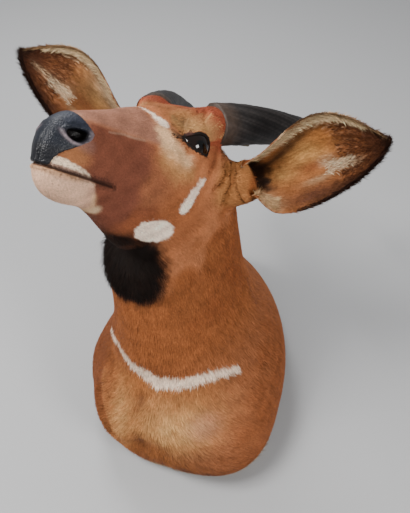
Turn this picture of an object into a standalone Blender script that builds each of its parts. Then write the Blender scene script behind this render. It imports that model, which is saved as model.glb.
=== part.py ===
"""Shoulder mount of a bongo antelope, life size, lying on the flat of its back board.

The origin is the middle of the back board's underside. +X is the animal's left, +Y its back
(the side of the withers) and +Z leads out of the wall, which is up while the mount lies down.
The head has a frame of its own: x is the animal's left, y its forehead side and z leads to its
nose, from a point midway between the eyes. Every size is in metres.
"""
import math
import random

import bmesh
import bpy
from mathutils import Matrix, Vector
from mathutils.bvhtree import BVHTree

# Sizes that drive the mount
GAP = 0.0003
SLIVER = 0.00002
BOARD_THICK = 0.012
BOARD_INSET = 0.009
SKIN_VOXEL = 0.0055
NECK_CUT = 0.300

# Where the head is held
HEAD_PLACE = Vector((-0.033, -0.077, 0.626))
HEAD_NOSE = Vector((-0.228, -0.674, 0.702)).normalized()
HEAD_LEFT = Vector((0.969, -0.228, 0.096))
HEAD_UP = HEAD_NOSE.cross(HEAD_LEFT).normalized()
HEAD_LEFT = HEAD_UP.cross(HEAD_NOSE)

EYE_PLACE = Vector((0.0515, 0.0025, -0.0060))
EYE_RADIUS = 0.0265
LID_THICK = 0.0038
EYE_LONG = 0.0310
EYE_HIGH = 0.0165

HORN_BASE = Vector((0.0600, 0.0515, -0.0640))
HORN_RADIUS = 0.0295
HORN_REACH = 0.560
HORN_BOW = 0.100
HORN_START = 0.004

EAR_ROOT = {1: Vector((0.1190, -0.0160, -0.1120)), -1: Vector((-0.1135, 0.0030, -0.1030))}
EAR_LENGTH = 0.236
EAR_LOWER = 0.066
EAR_UPPER = 0.064
EAR_STEM = 0.031
EAR_DEEP = 0.055
EAR_BEND = 0.020
EAR_THICK = 0.0034
EAR_BUTT = 0.041

COAT = (0.42, 0.16, 0.05)


def head_matrix():
    """The head's frame as a matrix."""
    turn = Matrix((HEAD_LEFT, HEAD_UP, HEAD_NOSE)).transposed()
    return Matrix.Translation(HEAD_PLACE) @ turn.to_4x4()


HEAD = head_matrix()


def clear_scene():
    for thing in list(bpy.data.objects):
        bpy.data.objects.remove(thing, do_unlink=True)


def collection(name):
    group = bpy.data.collections.new(name)
    bpy.context.scene.collection.children.link(group)
    return group


def material(name, colour, roughness, metallic=0.0):
    finish = bpy.data.materials.new(name)
    finish.use_nodes = True
    shader = finish.node_tree.nodes["Principled BSDF"]
    shader.inputs["Base Color"].default_value = (*colour, 1.0)
    shader.inputs["Roughness"].default_value = roughness
    shader.inputs["Metallic"].default_value = metallic
    return finish


def mesh_object(name, bm, group):
    """Turn a bmesh into a named object."""
    bmesh.ops.recalc_face_normals(bm, faces=bm.faces[:])
    mesh = bpy.data.meshes.new(name)
    bm.to_mesh(mesh)
    bm.free()
    thing = bpy.data.objects.new(name, mesh)
    group.objects.link(thing)
    return thing


def apply_modifiers(thing):
    """Replace the mesh by the evaluated one and drop the modifiers."""
    graph = bpy.context.evaluated_depsgraph_get()
    mesh = bpy.data.meshes.new_from_object(thing.evaluated_get(graph))
    thing.modifiers.clear()
    thing.data = mesh


def power(value, exponent):
    return math.copysign(abs(value) ** exponent, value)


def blend_rows(rows, where):
    """Read a table of sections at one place, with a smooth curve through its rows."""
    if where <= rows[0][0]:
        return rows[0][1:]
    if where >= rows[-1][0]:
        return rows[-1][1:]
    index = max(i for i in range(len(rows) - 1) if rows[i][0] <= where)
    before = rows[max(index - 1, 0)]
    low, high = rows[index], rows[index + 1]
    after = rows[min(index + 2, len(rows) - 1)]
    t = (where - low[0]) / (high[0] - low[0])
    values = []
    for k in range(1, len(low)):
        step = high[0] - low[0]
        slope_in = (high[k] - before[k]) / max(high[0] - before[0], 1e-6) * step
        slope_out = (after[k] - low[k]) / max(after[0] - low[0], 1e-6) * step
        values.append((2 * t ** 3 - 3 * t ** 2 + 1) * low[k] + (t ** 3 - 2 * t ** 2 + t) * slope_in
                      + (-2 * t ** 3 + 3 * t ** 2) * high[k] + (t ** 3 - t ** 2) * slope_out)
    return values


def loft(rings, bm=None):
    """Join rings of points into one closed skin; each end is a fan round its middle."""
    bm = bm or bmesh.new()
    loops = [[bm.verts.new(point) for point in ring] for ring in rings]
    count = len(loops[0])
    for lower, upper in zip(loops, loops[1:]):
        for i in range(count):
            j = (i + 1) % count
            bm.faces.new((lower[i], lower[j], upper[j], upper[i]))
    for ring in (loops[0], loops[-1]):
        middle = bm.verts.new(sum((v.co for v in ring), Vector()) / count)
        for i in range(count):
            bm.faces.new((ring[i], ring[(i + 1) % count], middle))
    return bm


def join_all(name, things, group, solver="EXACT"):
    """Unite closed pieces into one body and keep its largest closed surface."""
    first, rest = things[0], things[1:]
    if rest:
        tools = collection(name + "_pieces")
        for piece in rest:
            for owner in list(piece.users_collection):
                owner.objects.unlink(piece)
            tools.objects.link(piece)
        union = first.modifiers.new("unite", "BOOLEAN")
        union.operation = "UNION"
        union.operand_type = "COLLECTION"
        union.collection = tools
        union.solver = solver
        apply_modifiers(first)
        for piece in rest:
            bpy.data.objects.remove(piece, do_unlink=True)
        bpy.data.collections.remove(tools)
    first.name = name
    keep_island(first)
    return first


def islands(bm):
    """The separate closed surfaces of a mesh as lists of faces, the largest first."""
    seen = set()
    found = []
    for start in bm.faces:
        if start in seen:
            continue
        stack, island = [start], []
        seen.add(start)
        while stack:
            face = stack.pop()
            island.append(face)
            for edge in face.edges:
                for other in edge.link_faces:
                    if other not in seen:
                        seen.add(other)
                        stack.append(other)
        found.append(island)
    return sorted(found, key=len, reverse=True)


def keep_island(thing, keep=0):
    """Keep one closed surface of an object, by its rank in size."""
    bm = bmesh.new()
    bm.from_mesh(thing.data)
    bmesh.ops.dissolve_degenerate(bm, dist=SLIVER, edges=bm.edges[:])
    bmesh.ops.triangulate(bm, faces=[f for f in bm.faces if len(f.verts) > 3])
    for rank, island in enumerate(islands(bm)):
        if rank != keep:
            bmesh.ops.delete(bm, geom=island, context="FACES")
    bm.to_mesh(thing.data)
    bm.free()


def cut_away(thing, cutters, solver="EXACT"):
    """Take each cutter's shape out of an object."""
    for cutter in cutters:
        cut = thing.modifiers.new("cut", "BOOLEAN")
        cut.operation = "DIFFERENCE"
        cut.object = cutter
        cut.solver = solver
    apply_modifiers(thing)


# Body: level rings in the shoulders that tip over to the head's own slant up the neck.
# height, sideways shift, y of the widest line, reach to the back, reach to the chest,
# left width, right width, roundness of the back, left chest and right chest, lean in degrees
BODY_SECTIONS = (
    (0.0123, 0.000, -0.080, 0.378, 0.223, 0.214, 0.211, 1.90, 3.4, 1.60, 0),
    (0.0600, 0.000, -0.085, 0.362, 0.236, 0.213, 0.207, 1.75, 3.2, 1.60, 0),
    (0.1150, 0.000, -0.082, 0.320, 0.246, 0.204, 0.185, 1.65, 2.8, 1.75, 0),
    (0.1750, 0.000, -0.072, 0.262, 0.232, 0.176, 0.156, 1.60, 2.4, 2.0, 0),
    (0.2350, -0.001, -0.063, 0.200, 0.204, 0.142, 0.138, 1.60, 2.2, 2.0, 2),
    (0.3000, -0.004, -0.058, 0.172, 0.198, 0.118, 0.124, 1.65, 2.1, 2.0, 6),
    (0.3700, -0.008, -0.058, 0.152, 0.194, 0.107, 0.113, 1.80, 2.0, 2.0, 12),
    (0.4400, -0.013, -0.060, 0.134, 0.190, 0.100, 0.104, 1.90, 2.0, 2.0, 18),
    (0.5050, -0.018, -0.058, 0.118, 0.188, 0.094, 0.098, 2.00, 2.0, 2.0, 24),
    (0.5520, -0.020, -0.054, 0.105, 0.178, 0.086, 0.090, 2.00, 2.0, 2.0, 29),
    (0.5850, -0.022, -0.054, 0.070, 0.110, 0.060, 0.060, 2.00, 2.0, 2.0, 29),
)
BODY_RINGS = 44
BODY_POINTS = 56


def body_ring(height):
    """One ring of the shoulders and neck."""
    row = blend_rows(BODY_SECTIONS, height)
    shift, widest, to_back, to_chest, left, right, round_back, round_left, round_right, lean = row
    slope = math.radians(lean)
    along = Vector((0.17 * slope / 0.5, math.cos(slope), math.sin(slope)))
    across = Vector((1.0, -0.17 * slope / 0.5, 0.0)).normalized()
    centre = Vector((shift, widest, height))
    points = []
    for i in range(BODY_POINTS):
        angle = 2 * math.pi * i / BODY_POINTS
        side, rise = math.sin(angle), math.cos(angle)
        if rise >= 0:
            roundness, reach = round_back, to_back
        else:
            roundness, reach = (round_left if side > 0 else round_right), to_chest
        width = left if side > 0 else right
        points.append(centre + along * reach * power(rise, 2 / roundness)
                      + across * width * power(side, 2 / roundness))
    return points


def make_body(group):
    low, high = BODY_SECTIONS[0][0], BODY_SECTIONS[-1][0]
    rings = [body_ring(low + (high - low) * i / BODY_RINGS) for i in range(BODY_RINGS + 1)]
    return mesh_object("body", loft(rings), group)


# Head: rings square to its length, each a soft oval with its own top and bottom halves.
# place along the head, top, height of the widest line, bottom, half width, top and bottom roundness
HEAD_SECTIONS = (
    (-0.150, 0.010, -0.010, -0.030, 0.030, 2.0, 2.0),
    (-0.125, 0.055, -0.005, -0.085, 0.060, 2.1, 2.0),
    (-0.095, 0.071, -0.005, -0.135, 0.072, 2.2, 1.9),
    (-0.065, 0.071, -0.008, -0.158, 0.077, 2.3, 1.8),
    (-0.030, 0.064, -0.010, -0.171, 0.079, 2.3, 1.7),
    (0.000, 0.055, -0.012, -0.175, 0.075, 2.2, 1.7),
    (0.030, 0.046, -0.026, -0.175, 0.069, 1.9, 1.7),
    (0.070, 0.034, -0.042, -0.163, 0.058, 1.6, 1.75),
    (0.110, 0.019, -0.052, -0.146, 0.050, 1.6, 1.85),
    (0.150, 0.005, -0.062, -0.134, 0.045, 1.7, 2.0),
    (0.190, -0.008, -0.068, -0.135, 0.043, 1.8, 2.1),
    (0.212, -0.015, -0.069, -0.134, 0.040, 1.9, 2.1),
    (0.230, -0.023, -0.068, -0.129, 0.034, 2.0, 2.1),
    (0.246, -0.034, -0.068, -0.117, 0.024, 2.1, 2.1),
    (0.257, -0.049, -0.069, -0.099, 0.012, 2.0, 2.0),
    (0.2615, -0.060, -0.069, -0.082, 0.005, 2.0, 2.0),
)
HEAD_RINGS = 60
HEAD_POINTS = 44


def head_ring(place):
    """One ring of the head, in the head's frame."""
    top, middle, bottom, width, round_top, round_bottom = blend_rows(HEAD_SECTIONS, place)
    points = []
    for i in range(HEAD_POINTS):
        angle = 2 * math.pi * i / HEAD_POINTS
        upper = math.sin(angle) >= 0
        roundness = round_top if upper else round_bottom
        reach = top - middle if upper else middle - bottom
        side = width * power(math.cos(angle), 2 / roundness)
        height = middle + reach * power(math.sin(angle), 2 / roundness)
        points.append(Vector((side, height, place)))
    return points


def tube(points, radii, sides=20, flat=1.0, flat_axis=None):
    """A closed tube through points, with its own radius at each."""
    rings = []
    for i, point in enumerate(points):
        ahead = points[min(i + 1, len(points) - 1)] - points[max(i - 1, 0)]
        ahead.normalize()
        first = (flat_axis or Vector((0.0, 1.0, 0.001))).cross(ahead).normalized()
        second = ahead.cross(first)
        rings.append([point + first * radii[i] * math.cos(2 * math.pi * k / sides)
                      + second * radii[i] * flat * math.sin(2 * math.pi * k / sides)
                      for k in range(sides)])
    return loft(rings)


def ball(name, centre, radii, group, turn=None, segments=28, rings=16):
    """A closed ellipsoid."""
    bm = bmesh.new()
    bmesh.ops.create_uvsphere(bm, u_segments=segments, v_segments=rings, radius=1.0)
    shape = Matrix.Translation(centre) @ (turn or Matrix.Identity(4)) @ Matrix.Diagonal((*radii, 1.0))
    bmesh.ops.transform(bm, matrix=shape, verts=bm.verts[:])
    return mesh_object(name, bm, group)


def mirrored(point, side):
    """A point or direction on the animal's left (side 1) or right (side -1)."""
    return Vector((point.x * side, point.y, point.z))


EAR_AXIS = {1: Vector((0.880, 0.405, 0.230)), -1: Vector((-0.790, 0.385, 0.470))}
EAR_FACE = {1: Vector((0.20, -0.35, 0.90)), -1: Vector((0.52, -0.42, 0.74))}


def ear_frame(side):
    """Root, length direction, width direction and the direction the cup faces."""
    axis = EAR_AXIS[side].normalized()
    face = EAR_FACE[side]
    face = (face - axis * face.dot(axis)).normalized()
    return EAR_ROOT[side], axis, axis.cross(face) * -side, face


def horn_point(side, t):
    """The middle line of a horn: a lyre that bows out, dips and rises again at its tip."""
    out = HORN_BOW * math.sin(2.6 * t)
    rise = 0.052 * math.sin(3.8 * t) + 0.085 * t ** 3
    centre = HORN_BASE + Vector((out, rise, -HORN_REACH * t))
    return mirrored(centre, side)


def horn_axis(side):
    return (horn_point(side, 0.02) - horn_point(side, -0.02)).normalized()


# Soft swellings of the head: centre, radius and push, all in the head's frame, on both sides
HEAD_SWELLS = (
    (Vector((0.050, 0.036, 0.010)), 0.042, Vector((0.004, 0.006, 0.002))),
    (Vector((0.062, -0.022, 0.030)), 0.045, Vector((0.003, 0.000, 0.001))),
    (Vector((0.060, -0.075, -0.030)), 0.055, Vector((0.004, -0.001, 0.000))),
    (Vector((0.040, -0.048, 0.240)), 0.026, Vector((0.0045, 0.001, 0.001))),
    (Vector((0.042, -0.085, 0.205)), 0.035, Vector((0.0025, 0.0, 0.0))),
    (Vector((0.045, -0.055, 0.130)), 0.040, Vector((-0.0030, 0.0, 0.0))),
    (Vector((0.018, 0.018, 0.110)), 0.035, Vector((0.0020, 0.0010, 0.0))),
    (Vector((0.030, -0.108, 0.170)), 0.030, Vector((-0.0040, 0.002, 0.0))),
)
# Soft swellings of the shoulders, in the mount's frame
BODY_SWELLS = (
    (Vector((0.125, -0.265, 0.100)), 0.120, Vector((0.003, -0.014, 0.004))),
    (Vector((-0.105, -0.255, 0.100)), 0.110, Vector((-0.003, -0.016, 0.004))),
    (Vector((0.000, -0.330, 0.100)), 0.060, Vector((0.0, 0.016, 0.0))),
    (Vector((0.000, -0.310, 0.030)), 0.060, Vector((0.0, 0.005, 0.0))),
    (Vector((0.000, -0.250, 0.230)), 0.060, Vector((0.0, 0.012, 0.0))),
)


def swell(bm, centre, radius, push):
    """Push the skin near a point, fading out with distance."""
    for vert in bm.verts:
        away = (vert.co - centre).length / radius
        if away < 1.0:
            vert.co += push * (1 - away * away) ** 2


def remesh(thing, voxel):
    skin = thing.modifiers.new("skin", "REMESH")
    skin.mode = "VOXEL"
    skin.voxel_size = voxel
    soften = thing.modifiers.new("soften", "SMOOTH")
    soften.factor = 0.5
    soften.iterations = 4
    apply_modifiers(thing)


def make_flesh(group):
    """Shoulders, neck and head as one skin, before it is parted."""
    body = make_body(group)
    low, high = HEAD_SECTIONS[0][0], HEAD_SECTIONS[-1][0]
    rings = [[HEAD @ point for point in head_ring(low + (high - low) * i / HEAD_RINGS)]
             for i in range(HEAD_RINGS + 1)]
    pieces = [body, mesh_object("skull", loft(rings), group)]
    for side in (1, -1):
        root, axis, _, _ = ear_frame(side)
        inner = mirrored(Vector((0.040, -0.010, -0.085)), side)
        line = [HEAD @ point for point in (inner, root - axis * 0.035, root + axis * 0.012)]
        pieces.append(mesh_object("ear_butt", tube(line, (0.040, EAR_BUTT + 0.004, EAR_BUTT - 0.006)),
                                  group))
        axis = horn_axis(side)
        line = [HEAD @ (horn_point(side, 0.0) + axis * along) for along in (-0.060, -0.020, 0.006)]
        pieces.append(mesh_object("pedicle", tube(line, (0.026, 0.031, 0.028)), group))
    flesh = join_all("flesh", pieces, group)
    remesh(flesh, SKIN_VOXEL)
    bm = bmesh.new()
    bm.from_mesh(flesh.data)
    for centre, radius, push in HEAD_SWELLS:
        for side in (1, -1):
            swell(bm, HEAD @ mirrored(centre, side), radius, HEAD.to_3x3() @ mirrored(push, side))
    for centre, radius, push in BODY_SWELLS:
        swell(bm, centre, radius, push)
    bm.to_mesh(flesh.data)
    bm.free()
    return flesh


# The slanted plane between head and neck, from behind the poll to the throat
HEAD_CUT_PLACE = HEAD @ Vector((0.0, -0.040, -0.152))
HEAD_CUT_UP = (HEAD.to_3x3() @ Vector((0.0, 0.42, 0.91))).normalized()


def halve(thing, place, normal):
    """Keep the side that the normal points to, with a flat cap on the cut."""
    bm = bmesh.new()
    bm.from_mesh(thing.data)
    cut = bmesh.ops.bisect_plane(bm, geom=bm.verts[:] + bm.edges[:] + bm.faces[:], dist=1e-6,
                                 plane_co=place, plane_no=normal, clear_inner=True)
    rim = [e for e in cut["geom_cut"] if isinstance(e, bmesh.types.BMEdge)]
    bmesh.ops.contextual_create(bm, geom=rim)
    bmesh.ops.triangulate(bm, faces=[f for f in bm.faces if len(f.verts) > 4])
    bmesh.ops.recalc_face_normals(bm, faces=bm.faces[:])
    bm.to_mesh(thing.data)
    bm.free()
    keep_island(thing)


def copy_of(thing, name, group):
    twin = bpy.data.objects.new(name, thing.data.copy())
    group.objects.link(twin)
    return twin


def coarsen(thing, faces):
    """Bring a fine skin down to a number of triangles."""
    count = sum(len(p.vertices) - 2 for p in thing.data.polygons)
    thin = thing.modifiers.new("thin", "DECIMATE")
    thin.ratio = min(1.0, faces / count)
    apply_modifiers(thing)


HEAD_FACES = 2900
NECK_FACES = 1300
SHOULDER_FACES = 1560
SPARE = 0.020


def part_flesh(flesh, group):
    """Head, neck and shoulders, with flat cuts between them."""
    level = Vector((0.0, 0.0, 1.0))
    cut = Vector((0.0, 0.0, NECK_CUT))
    head = copy_of(flesh, "head", group)
    halve(head, HEAD_CUT_PLACE - HEAD_CUT_UP * SPARE, HEAD_CUT_UP)
    coarsen(head, HEAD_FACES)
    halve(head, HEAD_CUT_PLACE + HEAD_CUT_UP * GAP / 2, HEAD_CUT_UP)
    neck = copy_of(flesh, "neck", group)
    halve(neck, HEAD_CUT_PLACE + HEAD_CUT_UP * SPARE, -HEAD_CUT_UP)
    halve(neck, cut - level * SPARE, level)
    coarsen(neck, NECK_FACES)
    halve(neck, HEAD_CUT_PLACE - HEAD_CUT_UP * GAP / 2, -HEAD_CUT_UP)
    halve(neck, cut + level * GAP / 2, level)
    shoulders = copy_of(flesh, "shoulders", group)
    halve(shoulders, cut + level * SPARE, -level)
    coarsen(shoulders, SHOULDER_FACES)
    halve(shoulders, cut - level * GAP / 2, -level)
    halve(shoulders, Vector((0.0, 0.0, BOARD_THICK + GAP)), level)
    bpy.data.objects.remove(flesh, do_unlink=True)
    return head, neck, shoulders


def make_board(group):
    """The egg-shaped back board, a little inside the hide's edge."""
    rings = []
    for height in (0.0, BOARD_THICK):
        ring = []
        for point in body_ring(BODY_SECTIONS[0][0])[::-1]:
            shrink = 1 - BOARD_INSET / point.xy.length
            ring.append(Vector((point.x * shrink, point.y * shrink, height)))
        rings.append(ring)
    return mesh_object("back_board", loft(rings), group)


def eye_matrix(side):
    """An eye's own frame: x along the lids to the nose, y up the face, z out of the head."""
    out = mirrored(Vector((0.82, 0.14, 0.46)), side).normalized()
    ahead = mirrored(Vector((-0.42, 0.10, 0.90)), side)
    ahead = (ahead - out * ahead.dot(out)).normalized()
    over = out.cross(ahead)
    if over.y < 0:
        over = -over
        ahead = over.cross(out)
    turn = Matrix((ahead, over, out)).transposed().to_4x4()
    return HEAD @ Matrix.Translation(mirrored(EYE_PLACE, side)) @ turn


def almond(length, height, depth, group):
    """A closed block whose outline is the opening between two lids."""
    points = 20
    outline = []
    for i in range(points):
        angle = 2 * math.pi * i / points
        narrow = abs(math.sin(angle)) ** 1.25
        outline.append((length * math.cos(angle), math.copysign(height * narrow, math.sin(angle))))
    rings = [[Vector((x * grow, y * grow, z)) for x, y in outline]
             for z, grow in ((0.0, 0.80), (depth, 1.25))]
    return mesh_object("lid_opening", loft(rings), group)


def fit_eyes(head, group, tools):
    """Sockets and lids in the head, and the eyes that fill them."""
    lids, cutters, eyes = [], [], []
    for side, name in ((1, "eye_left"), (-1, "eye_right")):
        frame = eye_matrix(side)
        lid = ball("lid", Vector(), (EYE_RADIUS + LID_THICK,) * 3, group)
        lid.data.transform(frame)
        lids.append(lid)
        opening = almond(EYE_LONG, EYE_HIGH, 0.060, tools)
        opening.data.transform(frame)
        cutters.append(opening)
        socket = ball("socket", Vector(), (EYE_RADIUS + GAP,) * 3, tools, segments=18, rings=12)
        socket.data.transform(frame)
        cutters.append(socket)
        eye = ball(name, Vector(), (EYE_RADIUS - GAP,) * 3, group, segments=16, rings=10)
        eye.data.transform(frame)
        eyes.append(eye)
    head = join_all("head", [head] + lids, group)
    cut_away(head, cutters, solver="MANIFOLD")
    keep_island(head)
    return head, eyes


def mouth_cutter(tools):
    """A thin lens through the lips: its edge opens into the groove between them."""
    back, front, count = 0.1445, 0.262, 14
    level, inner_half, outer_half = -0.0945, 0.00015, 0.0022
    inside, outside = [], []
    for i in range(count + 1):
        place = back + (front - back) * i / count
        _, middle, bottom, width, _, roundness = blend_rows(HEAD_SECTIONS, place)
        drop = min(1.0, max(0.0, (middle - level) / (middle - bottom)))
        side = width * (1 - drop ** roundness) ** (1 / roundness) if drop < 1 else 0.002
        inside.append((max(side - 0.006, 0.001), place))
        outside.append((side + 0.012, place))
    inside[-1] = (inside[-1][0], front - 0.008)
    outside[-1] = (outside[-1][0], front + 0.014)
    inner = inside + [(-x, z) for x, z in reversed(inside)]
    outer = outside + [(-x, z) for x, z in reversed(outside)]
    bm = bmesh.new()
    rings = []
    for shape, half in ((inner, inner_half), (outer, outer_half), (outer, -outer_half),
                        (inner, -inner_half)):
        rings.append([bm.verts.new(HEAD @ Vector((x, level + half, z))) for x, z in shape])
    count = len(inner)
    for lower, upper in zip(rings, rings[1:]):
        for i in range(count):
            j = (i + 1) % count
            bm.faces.new((lower[i], lower[j], upper[j], upper[i]))
    bm.faces.new(rings[0])
    bm.faces.new(reversed(rings[-1]))
    bmesh.ops.triangulate(bm, faces=bm.faces[:])
    return mesh_object("mouth_line", bm, tools)


def bent_sheet(line, half_width, tools):
    """A thin sheet across the head, bent along a line of (y, z) places."""
    sides = ([], [])
    for i, (y, z) in enumerate(line):
        before, after = line[max(i - 1, 0)], line[min(i + 1, len(line) - 1)]
        ahead = Vector((after[0] - before[0], after[1] - before[1])).normalized()
        for k, way in enumerate((1, -1)):
            sides[k].append((y - ahead.y * way * GAP / 2, z + ahead.x * way * GAP / 2))
    outline = sides[0] + sides[1][::-1]
    bm = bmesh.new()
    rings = [[bm.verts.new(HEAD @ Vector((x, y, z))) for y, z in outline]
             for x in (-half_width, half_width)]
    for i in range(len(outline)):
        j = (i + 1) % len(outline)
        bm.faces.new((rings[0][i], rings[0][j], rings[1][j], rings[1][i]))
    bm.faces.new(rings[0][::-1])
    bm.faces.new(rings[1])
    bmesh.ops.triangulate(bm, faces=bm.faces[:])
    return mesh_object("sheet", bm, tools)


def split_islands(thing, group, count):
    """The largest closed surfaces of an object, each as an object of its own."""
    found = []
    for rank in range(count):
        piece = copy_of(thing, "piece", group)
        keep_island(piece, rank)
        found.append(piece)
    bpy.data.objects.remove(thing, do_unlink=True)
    return found


# The sheets that part the muzzle, as (y, z) places along the head
JAW_SHEET = ((-0.0935, 0.1480), (-0.1500, 0.1480))
PAD_SHEET = ((0.0300, 0.2581), (-0.0447, 0.2051), (-0.0745, 0.2475), (-0.0960, 0.2440))
NOSTRIL_PLACE = Vector((0.0290, -0.0480, 0.2315))
NOSTRIL_RADII = (0.0120, 0.0085, 0.0150)
NOSTRIL_TURN = 33


def part_muzzle(head, group, tools):
    """The nose pad and the front of the lower jaw, parted from the head by thin cuts."""
    cut_away(head, [mouth_cutter(tools), bent_sheet(JAW_SHEET, 0.10, tools)], solver="MANIFOLD")
    head, jaw = split_islands(head, group, 2)
    cut_away(head, [bent_sheet(PAD_SHEET, 0.07, tools)], solver="MANIFOLD")
    head, pad = split_islands(head, group, 2)
    for side in (1, -1):
        turn = Matrix.Rotation(math.radians(-NOSTRIL_TURN * side), 4, "Y")
        hole = ball("nostril", Vector(), NOSTRIL_RADII, tools, segments=16, rings=8)
        hole.data.transform(HEAD @ Matrix.Translation(mirrored(NOSTRIL_PLACE, side)) @ turn)
        cut_away(pad, [hole], solver="MANIFOLD")
    for thing, name in ((head, "head"), (jaw, "lower_jaw"), (pad, "nose_pad")):
        keep_island(thing)
        thing.name = name
    return head, jaw, pad


EAR_STEPS = 18
EAR_ACROSS = 10


def ear_reach(along, across):
    """How far an ear's edge stands from its middle line: its lower edge widens first."""
    stem = EAR_STEM * (1 - along) ** 4
    if across < 0:
        leaf = max(0.0, math.sin(math.pi * max(along, 1e-6) ** 0.62)) ** 0.6
        return max(EAR_LOWER * leaf * (1 - 0.8 * math.exp(-along / 0.07)), stem, 0.003)
    leaf = max(0.0, math.sin(math.pi * max(along, 1e-6) ** 1.36))
    return EAR_UPPER * leaf + stem + 0.003


def ear_point(side, along, across):
    """A point on the middle sheet of an ear; across runs from its lower to its upper edge."""
    root, axis, width, face = ear_frame(side)
    wide = ear_reach(along, across)
    deep = EAR_DEEP * (1 - along) ** 0.8 * (0.55 + 0.45 * min(1.0, along * 6))
    arc = 1.15 + 1.25 * math.exp(-along * 7.0)
    swing = across * arc
    out = wide * math.sin(swing) / math.sin(min(arc, math.pi / 2))
    forward = deep * (1 - math.cos(swing)) / (1 - math.cos(arc))
    bend = EAR_BEND * math.sin(math.pi * along) + 0.5 * deep * math.exp(-along * 6.0)
    return (root + axis * (EAR_LENGTH * along + GAP) + width * out + face * (forward - bend))


def make_ear(side, name, group):
    """A cupped ear: a sheet rolled to a tube at its root, given its thickness."""
    bm = bmesh.new()
    grid = []
    for i in range(EAR_STEPS + 1):
        along = 0.985 * i / EAR_STEPS
        grid.append([bm.verts.new(HEAD @ ear_point(side, along, 2 * k / EAR_ACROSS - 1))
                     for k in range(EAR_ACROSS + 1)])
    for lower, upper in zip(grid, grid[1:]):
        for k in range(EAR_ACROSS):
            bm.faces.new((lower[k], lower[k + 1], upper[k + 1], upper[k]))
    ear = mesh_object(name, bm, group)
    shell = ear.modifiers.new("thickness", "SOLIDIFY")
    shell.thickness = EAR_THICK
    shell.offset = 0.0
    apply_modifiers(ear)
    root, axis, _, _ = ear_frame(side)
    halve(ear, HEAD @ (root + axis * GAP * 2), (HEAD.to_3x3() @ axis).normalized())
    return ear


HORN_STEPS = 28
HORN_SIDES = 12


def make_horn(side, name, group):
    """A smooth tapering horn with one keel that winds round it once."""
    rings = []
    for i in range(HORN_STEPS + 1):
        t = HORN_START / HORN_REACH + (1 - HORN_START / HORN_REACH) * i / HORN_STEPS
        centre = horn_point(side, t)
        ahead = (horn_point(side, t + 0.01) - horn_point(side, t - 0.01)).normalized()
        first = Vector((0.0, 1.0, 0.0)).cross(ahead).normalized()
        second = ahead.cross(first)
        radius = 0.0030 + HORN_RADIUS * (1 - max(t, 0.0) ** 1.25) ** 0.9
        ring = []
        for k in range(HORN_SIDES):
            angle = 2 * math.pi * k / HORN_SIDES
            turn = angle - side * (1.2 + 2 * math.pi * 0.9 * t)
            keel = 1 + 0.15 * max(0.0, math.cos(turn)) ** 6
            ring.append(HEAD @ (centre + first * radius * keel * math.cos(angle)
                                + second * radius * keel * math.sin(angle)))
        rings.append(ring)
    horn = mesh_object(name, loft(rings), group)
    return horn


def open_roots(head, group):
    """Trim the head flat where the ears and horns stand on it."""
    tools = []
    for side in (1, -1):
        root, axis, _, _ = ear_frame(side)
        turn = Vector((0.0, 0.0, 1.0)).rotation_difference(axis).to_matrix().to_4x4()
        bm = bmesh.new()
        bmesh.ops.create_cone(bm, cap_ends=True, segments=24, radius1=0.055, radius2=0.055, depth=0.05)
        shape = HEAD @ Matrix.Translation(root + axis * (0.025 + GAP)) @ turn
        bmesh.ops.transform(bm, matrix=shape, verts=bm.verts[:])
        tools.append(mesh_object("ear_trim", bm, group))
        axis = horn_axis(side)
        turn = Vector((0.0, 0.0, 1.0)).rotation_difference(axis).to_matrix().to_4x4()
        base = horn_point(side, HORN_START / HORN_REACH)
        bm = bmesh.new()
        bmesh.ops.create_cone(bm, cap_ends=True, segments=24, radius1=0.060, radius2=0.060, depth=0.06)
        shape = HEAD @ Matrix.Translation(base + axis * (0.030 - 2 * GAP)) @ turn
        bmesh.ops.transform(bm, matrix=shape, verts=bm.verts[:])
        tools.append(mesh_object("horn_trim", bm, group))
    cut_away(head, tools)
    keep_island(head)


def trim_horn(horn, side):
    """Give a horn a flat foot that stands on the head."""
    axis = horn_axis(side)
    base = horn_point(side, HORN_START / HORN_REACH)
    halve(horn, HEAD @ (base - axis * GAP), (HEAD.to_3x3() @ axis).normalized())


# Locks of long hair. A lock is a flat, tapering, bending strand; its rings are given as
# how far along it each lies, how wide and how thick it is there
LOCK_RINGS = ((-0.28, 0.60, 0.80), (0.12, 1.00, 1.00), (0.62, 0.76, 0.62), (1.00, 0.12, 0.30))
THROAT_ROWS = ((0.494, 0.036), (0.476, 0.038), (0.458, 0.036))
THROAT_FROM, THROAT_TO, THROAT_LOCKS = -34.0, 16.0, 8
CREST_FROM, CREST_TO, CREST_LOCKS = 0.274, 0.078, 8
FRINGE_LOW = (0.38, 0.47, 0.56, 0.65, 0.74, 0.82, 0.90, 0.97)
FRINGE_HIGH = (0.66, 0.80, 0.92)


def lock(root, ahead, out, length, width, thick, lift, group):
    """A closed lock that leaves its root along one direction and stands off by its lift."""
    side = ahead.cross(out).normalized()
    rings = []
    for t, wide, deep in LOCK_RINGS:
        reach = max(t, 0.0)
        middle = root + ahead * length * t + out * (lift * math.sin(2.2 * reach) - 0.003 * (t < 0))
        rings.append([middle + side * width * wide / 2, middle + out * thick * deep / 2,
                      middle - side * width * wide / 2, middle - out * thick * deep / 2])
    return mesh_object("lock", loft(rings), group)


def surface_tree(thing):
    """The surface of an object, ready for finding where a ray meets it."""
    bm = bmesh.new()
    bm.from_mesh(thing.data)
    tree = BVHTree.FromBMesh(bm)
    bm.free()
    return tree


def lay_of(normal, towards):
    """The direction along a surface that leads most nearly towards another direction."""
    return (towards - normal * towards.dot(normal)).normalized()


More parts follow.
